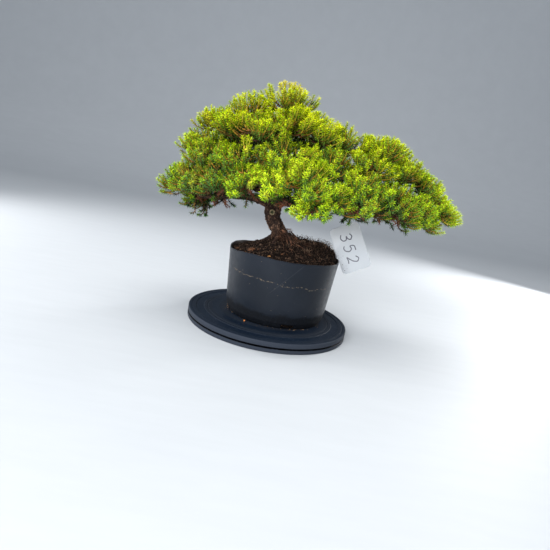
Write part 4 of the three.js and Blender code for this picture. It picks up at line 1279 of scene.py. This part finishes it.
def surface_root_lines():
    """Roots as thick as a pencil lead, running from the trunk's foot down over the soil."""
    draw = draws_from(91)
    lines = []
    starts = [(6, -9, 116, -0.35, 34, 0.8), (9, -7, 118, -0.15, 30, 0.9), (4, -10, 112, -0.8, 30, 0.5),
        (-1, -12, 109, -1.15, 26, 0.4), (10, -3, 119, 0.05, 42, 0.7), (12, 2, 117, 0.35, 40, 0.6),
        (8, 6, 116, 0.7, 34, 0.5), (2, -8, 115, -0.6, 44, 0.45), (7, -5, 119, -0.05, 48, 0.45),
        (11, -5, 118, -0.25, 38, 0.5), (-6, 14, 108, 1.8, 26, 0.5), (-16, 8, 107, 2.4, 22, 0.35)]
    for x, y, z, heading, length, thick in starts:
        path, girths = [], []
        count = 14
        for k in range(count):
            share = k / (count - 1)
            ground = soil_at(x, y) + 0.35 - 1.6 * max(0, share - 0.75)
            path.append(Vector((x, y, ground + (z - ground) * max(0, 1 - share * 3.2) ** 1.4)))
            girths.append(thick * MM * (1 - 0.62 * share))
            heading += 0.5 * (draw() - 0.5)
            x += length / count * math.cos(heading)
            y += length / count * math.sin(heading)
        lines.append((path, {"girth": girths}))
    bold = smoothed([(-1, -8, 119, 1.2), (5, -12, 117, 1.3), (10, -14, 111.5, 1.2), (12.5, -16, 105, 1.0),
        (14, -18, 99, 0.8)], 14)
    lines.append(girthed(bold))
    # hair roots that curl from the trunk's foot
    for i in range(210):
        turn = -1.7 + 2.9 * draw()
        height = 108 + 13 * draw() ** 1.3
        centre = 0.2 * (120 - height) - 7
        x = centre + 11.5 * math.cos(turn)
        y = 2 + 11.5 * math.sin(turn)
        z = height
        heading, pitch = turn + (draw() - 0.5), 0.8 * (draw() - 0.35)
        path = []
        for k in range(7):
            path.append(Vector((x, y, max(z, soil_at(x, y) + 0.2))))
            step = 1.0 + 0.8 * draw()
            x += step * math.cos(heading) * math.cos(pitch)
            y += step * math.sin(heading) * math.cos(pitch)
            z += step * math.sin(pitch)
            heading += 0.9 * (draw() - 0.5)
            pitch -= 0.30 * draw()
        thick = 0.09 + 0.12 * draw()
        lines.append((path, {"girth": [thick * MM * (1 - 0.08 * k) for k in range(7)]}))
    return lines


def strand_piece(name, lines, sides, look, slot):
    piece = line_piece(name, lines)
    RULE_OF_STRANDS.run(piece, Sides=sides, Look=look)
    soften(piece.data)
    return settle(piece, "top", slot)


def crumbs_piece():
    """Crumbs of earth that fell round the pot's foot."""
    points, litter = [], []
    sides, radii = 72, (57.6, 59.2, 61.4, 64.5)
    for radius, share in zip(radii, (0.9, 1.0, 0.16, 0.01)):
        for angle in angles(sides):
            points.append((*by_pot(angle, radius), TABLE_TOP + 0.1))
            clumps = 0.5 + 0.5 * math.sin(3 * angle + 1.2) * math.sin(7 * angle)
            litter.append(share * (0.25 + 0.75 * clumps))
    faces = bands(len(radii), sides, inward=True)
    piece = mesh_piece("fallen_crumbs", points, faces, CRUMB, facts={"litter": litter})
    RULE_OF_LITTER.run(piece, Form=LUMP_FORM, Density=170000.0, Small=0.25 * MM, Large=1.5 * MM,
        Flatness=0.8, Tilt=1.5, Seed=9, Look=CRUMB)
    return settle(piece, "top", "soil")


def bright_crumb_piece():
    """The one orange crumb that leans against the pot's foot in front."""
    spot = Vector((-25.3, -50.8, TABLE_TOP + 1.0))
    crumb = copy_of(LUMP_FORM, spot, Matrix.Identity(3), 2.3, 1.0)
    return settle(merged_piece("bright_crumb", [crumb], CRUMB), "top", "soil")


# Turntable
DISC_SIDES = 160


def disc_top_piece():
    def profile(angle):
        rings = [(99.3, 6), (99.8, 6.2), (100, 6.7), (100, 11.3), (99.8, 11.7), (99.3, 12), (96.4, 12),
            (96.0, 11.7)]
        rings += [(95.2, 11.7), (94.8, 12), (91.2, 12), (90.4, 11.4), (81.6, 11.4), (80.8, 12), (77.4, 12)]
        rings += [(77.0, 11.75), (76.2, 11.75), (75.8, 12), (60, 12), (0, 12)]
        return [(0, 2.3), (5.7, 2.3), (6, 2.6), (6, 6)] + rings

    points, faces = turned(profile, DISC_SIDES)
    piece = crisp(mesh_piece("turntable_plate", points, faces, DISC))
    return settle(piece, "top", "disc", "turntable_top")


def disc_base_piece():
    def profile(angle):
        return [(0, 0), (99.2, 0), (99.8, 0.2), (100, 0.7), (100, 4.2), (99.7, 4.6), (99.0, 5), (74.5, 5),
            (74.5, 3), (65.5, 3), (65.5, 5), (6.6, 5), (6.6, 2), (0, 2)]

    points, faces = turned(profile, DISC_SIDES)
    piece = crisp(mesh_piece("turntable_foot", points, faces, DISC))
    return settle(piece, "base", "disc", "turntable_base")


def bearing_piece():
    """The ring that stands for the balls and their cage, rounded at its edges."""
    inner, outer, low, high = 66.1, 73.9, 3.3, 5.7
    loop = [(inner + 0.4, low), (outer - 0.4, low), (outer, low + 0.4), (outer, high - 0.4)]
    loop += [(outer - 0.4, high), (inner + 0.4, high), (inner, high - 0.4), (inner, low + 0.4)]
    sides, points = 96, []
    for radius, height in loop:
        points += [(radius * math.cos(angle), radius * math.sin(angle), height) for angle in angles(sides)]
    piece = crisp(mesh_piece("bearing_race", points, bands(len(loop), sides, closed=True), STEEL))
    return settle(piece, "base", "steel", "bearing_ring")


# Plant label
LABEL_HEAD = (37.2, 59.5)
LABEL_CORNER = 5.0
LABEL_THICKNESS = 0.8
LABEL_STEM = 54.0
LABEL_NECK = 12.0
LABEL_POINT = 5.0
LABEL_TILT = math.radians(29.7)
LABEL_AT = Vector((70.8, 10.0, 101.4))
PENCIL_WIDTH = 0.76
FIGURE_HIGH, FIGURE_WIDE, FIGURE_SLANT = 14.0, 9.5, 1.6
FIGURES_AT = 17.5
FIGURE_STEP = 14.5
# Each figure as strokes in a box one wide and one high, as a quick hand writes them.
FIGURES = [[[(0.08, 0.86), (0.42, 1.0), (0.84, 0.82), (0.66, 0.60), (0.34, 0.54), (0.80, 0.44), (0.88, 0.18),
    (0.48, 0.0), (0.04, 0.12)]], [[(0.86, 0.98), (0.24, 0.94), (0.18, 0.60), (0.58, 0.64), (0.88, 0.40),
    (0.72, 0.10), (0.38, 0.0), (0.06, 0.10)]], [[(0.10, 0.80), (0.44, 1.0), (0.84, 0.84), (0.74, 0.50),
    (0.40, 0.22), (0.10, 0.02), (0.52, 0.06), (0.96, 0.02)]]]


def label_point(along, across, out):
    """A point of the label's own frame: along its stem, across it, and out of its front face."""
    turn = Vector((math.cos(LABEL_TILT), 0, math.sin(LABEL_TILT)))
    side = Vector((-math.sin(LABEL_TILT), 0, math.cos(LABEL_TILT)))
    return LABEL_AT + turn * along + side * across + Vector((0, -1, 0)) * out


def label_outline(inset):
    near, far, side = LABEL_CORNER, LABEL_HEAD[0] - LABEL_CORNER, LABEL_HEAD[1] / 2 - LABEL_CORNER
    corners = [(near, -side, 180), (far, -side, 270), (far, side, 0), (near, side, 90)]
    outline = []
    for x, y, start in corners:
        for step in range(9):
            angle = math.radians(start + 90 * step / 8)
            radius = LABEL_CORNER - inset
            outline.append((x + radius * math.cos(angle), y + radius * math.sin(angle)))
    neck, tip = LABEL_NECK / 2 - inset, LABEL_POINT / 2 - inset
    outline += [(inset, neck), (-LABEL_STEM * 0.7, neck - 1), (-LABEL_STEM + inset, tip)]
    outline += [(-LABEL_STEM + inset, -tip), (-LABEL_STEM * 0.7, -neck + 1), (inset, -neck)]
    return outline


def label_piece():
    half, edge = LABEL_THICKNESS / 2, 0.12
    points = []
    for inset, out in ((edge, -half), (0, -half + edge), (0, half - edge), (edge, half)):
        points += [label_point(x, y, out) for x, y in label_outline(inset)]
    count = len(points) // 4
    faces = [tuple(range(count - 1, -1, -1)), tuple(range(3 * count, 4 * count))]
    piece = mesh_piece("label_plate", points, faces + bands(4, count), LABEL)
    return settle(crisp(piece, 50), "top", "label", "plant_label")


def figures_piece():
    """Three written figures: thin raised strokes, their tops to the head's outer end."""
    parts = []
    for number, strokes in enumerate(FIGURES):
        centre = FIGURE_STEP - FIGURE_STEP * number
        for stroke in strokes:
            knots = []
            for x, y in stroke:
                across = centre - FIGURE_WIDE * (x - 0.5) - FIGURE_SLANT * (y - 0.5)
                knots.append((FIGURES_AT + FIGURE_HIGH * (y - 0.5), across, 0.0, PENCIL_WIDTH))
            points, faces, facts = tube(smoothed(knots, 40), 6)
            laid = [label_point(p.x, p.y, LABEL_THICKNESS / 2 + 0.12 * p.z) for p in points]
            parts.append((laid, faces, facts))
    return settle(merged_piece("label_figures", parts, PENCIL), "top", "label")


def floor_piece():
    """A pale floor that rises into a backdrop far behind."""
    rows = [(-1500, -0.1), (1600, -0.1), (1900, 40), (2150, 170), (2300, 420), (2360, 900), (2380, 3200)]
    points = [(x, y, z) for y, z in rows for x in (-4200, 4200)]
    faces = [(2 * k, 2 * k + 1, 2 * k + 3, 2 * k + 2) for k in range(len(rows) - 1)]
    floor = mesh_piece("floor", points, faces, floor_look())


NEEDLE_FORM = awl_needle()
RULE_OF_SHOOTS = needled_shoots_rule()
RULE_OF_STRANDS = strands_rule()
RULE_OF_LITTER = litter_rule()
CHIP_FORM = chip_form()
LUMP_FORM = lump_form()

for number, (name, spray) in enumerate(SPRAYS.items()):
    foliage(name, spray_plan(spray, number))
withered_piece()
trunk_piece()
limbs_piece()
pot_piece()
soil_piece()
strewn_over_soil("bark_chips", CHIP_FORM, 16000.0, 1.2, 5.0, 0.8, 0.6, 3, CHIP)
strewn_over_soil("peat_lumps", LUMP_FORM, 90000.0, 0.6, 2.6, 0.8, 1.2, 4, PEAT)
placed_chips()
strand_piece("peat_fibres", fibre_lines(), 3, FIBRE, "soil")
strand_piece("surface_roots", surface_root_lines(), 5, ROOT, "bark")
crumbs_piece()
bright_crumb_piece()
disc_top_piece()
disc_base_piece()
bearing_piece()
label_piece()
figures_piece()


# Camera, light and floor
FOCAL_PIXELS = 413.0
PHOTO_PIXELS = 550.0


def area_light(name, at, to, size, power, colour):
    lamp = bpy.data.lights.new(name, "AREA")
    lamp.shape = "RECTANGLE"
    lamp.size, lamp.size_y = size
    lamp.energy = power
    lamp.color = colour
    piece = placed(name, lamp)
    piece.location = at
    piece.rotation_euler = (Vector(to) - Vector(at)).to_track_quat("-Z", "Y").to_euler()


def studio():
    world = bpy.data.worlds.new("soft_sky")
    world.use_nodes = True
    sky = world.node_tree.nodes["Background"]
    sky.inputs["Color"].default_value = (0.86, 0.92, 1.0, 1.0)
    sky.inputs["Strength"].default_value = 0.55
    bpy.context.scene.world = world
    area_light("sky_panel", (0.1, -0.1, 1.3), (0.0, 0.0, 0.1), (1.1, 0.8), 8.5, (1.0, 0.99, 0.96))
    area_light("front_fill", (-0.45, -1.2, 0.62), (0.0, 0.0, 0.12), (0.9, 0.7), 21.0, (0.95, 0.97, 1.0))
    area_light("strip_right", (0.75, 0.62, 0.40), (0.0, 0.0, 0.10), (0.16, 0.6), 6.0, (1.0, 1.0, 1.0))
    area_light("strip_left", (-0.95, 0.25, 0.40), (0.0, 0.0, 0.10), (0.30, 0.6), 5.5, (1.0, 1.0, 1.0))
    bpy.context.scene.view_settings.view_transform = "Standard"


def rotation(degrees, axis):
    return Matrix.Rotation(math.radians(degrees), 4, axis)


def camera():
    """The camera that was fitted to the photo."""
    lens = bpy.data.cameras.new("photo_camera")
    lens.sensor_width = 36.0
    lens.lens = FOCAL_PIXELS / PHOTO_PIXELS * lens.sensor_width
    lens.clip_start = 0.01
    piece = placed("photo_camera", lens)
    turn = rotation(-0.02, "Z") @ rotation(-12.37, "X") @ rotation(90, "X") @ rotation(10.43, "Z")
    piece.matrix_world = Matrix.Translation((0.0, -0.5053, 0.1724)) @ turn
    bpy.context.scene.camera = piece


floor_piece()
studio()
camera()
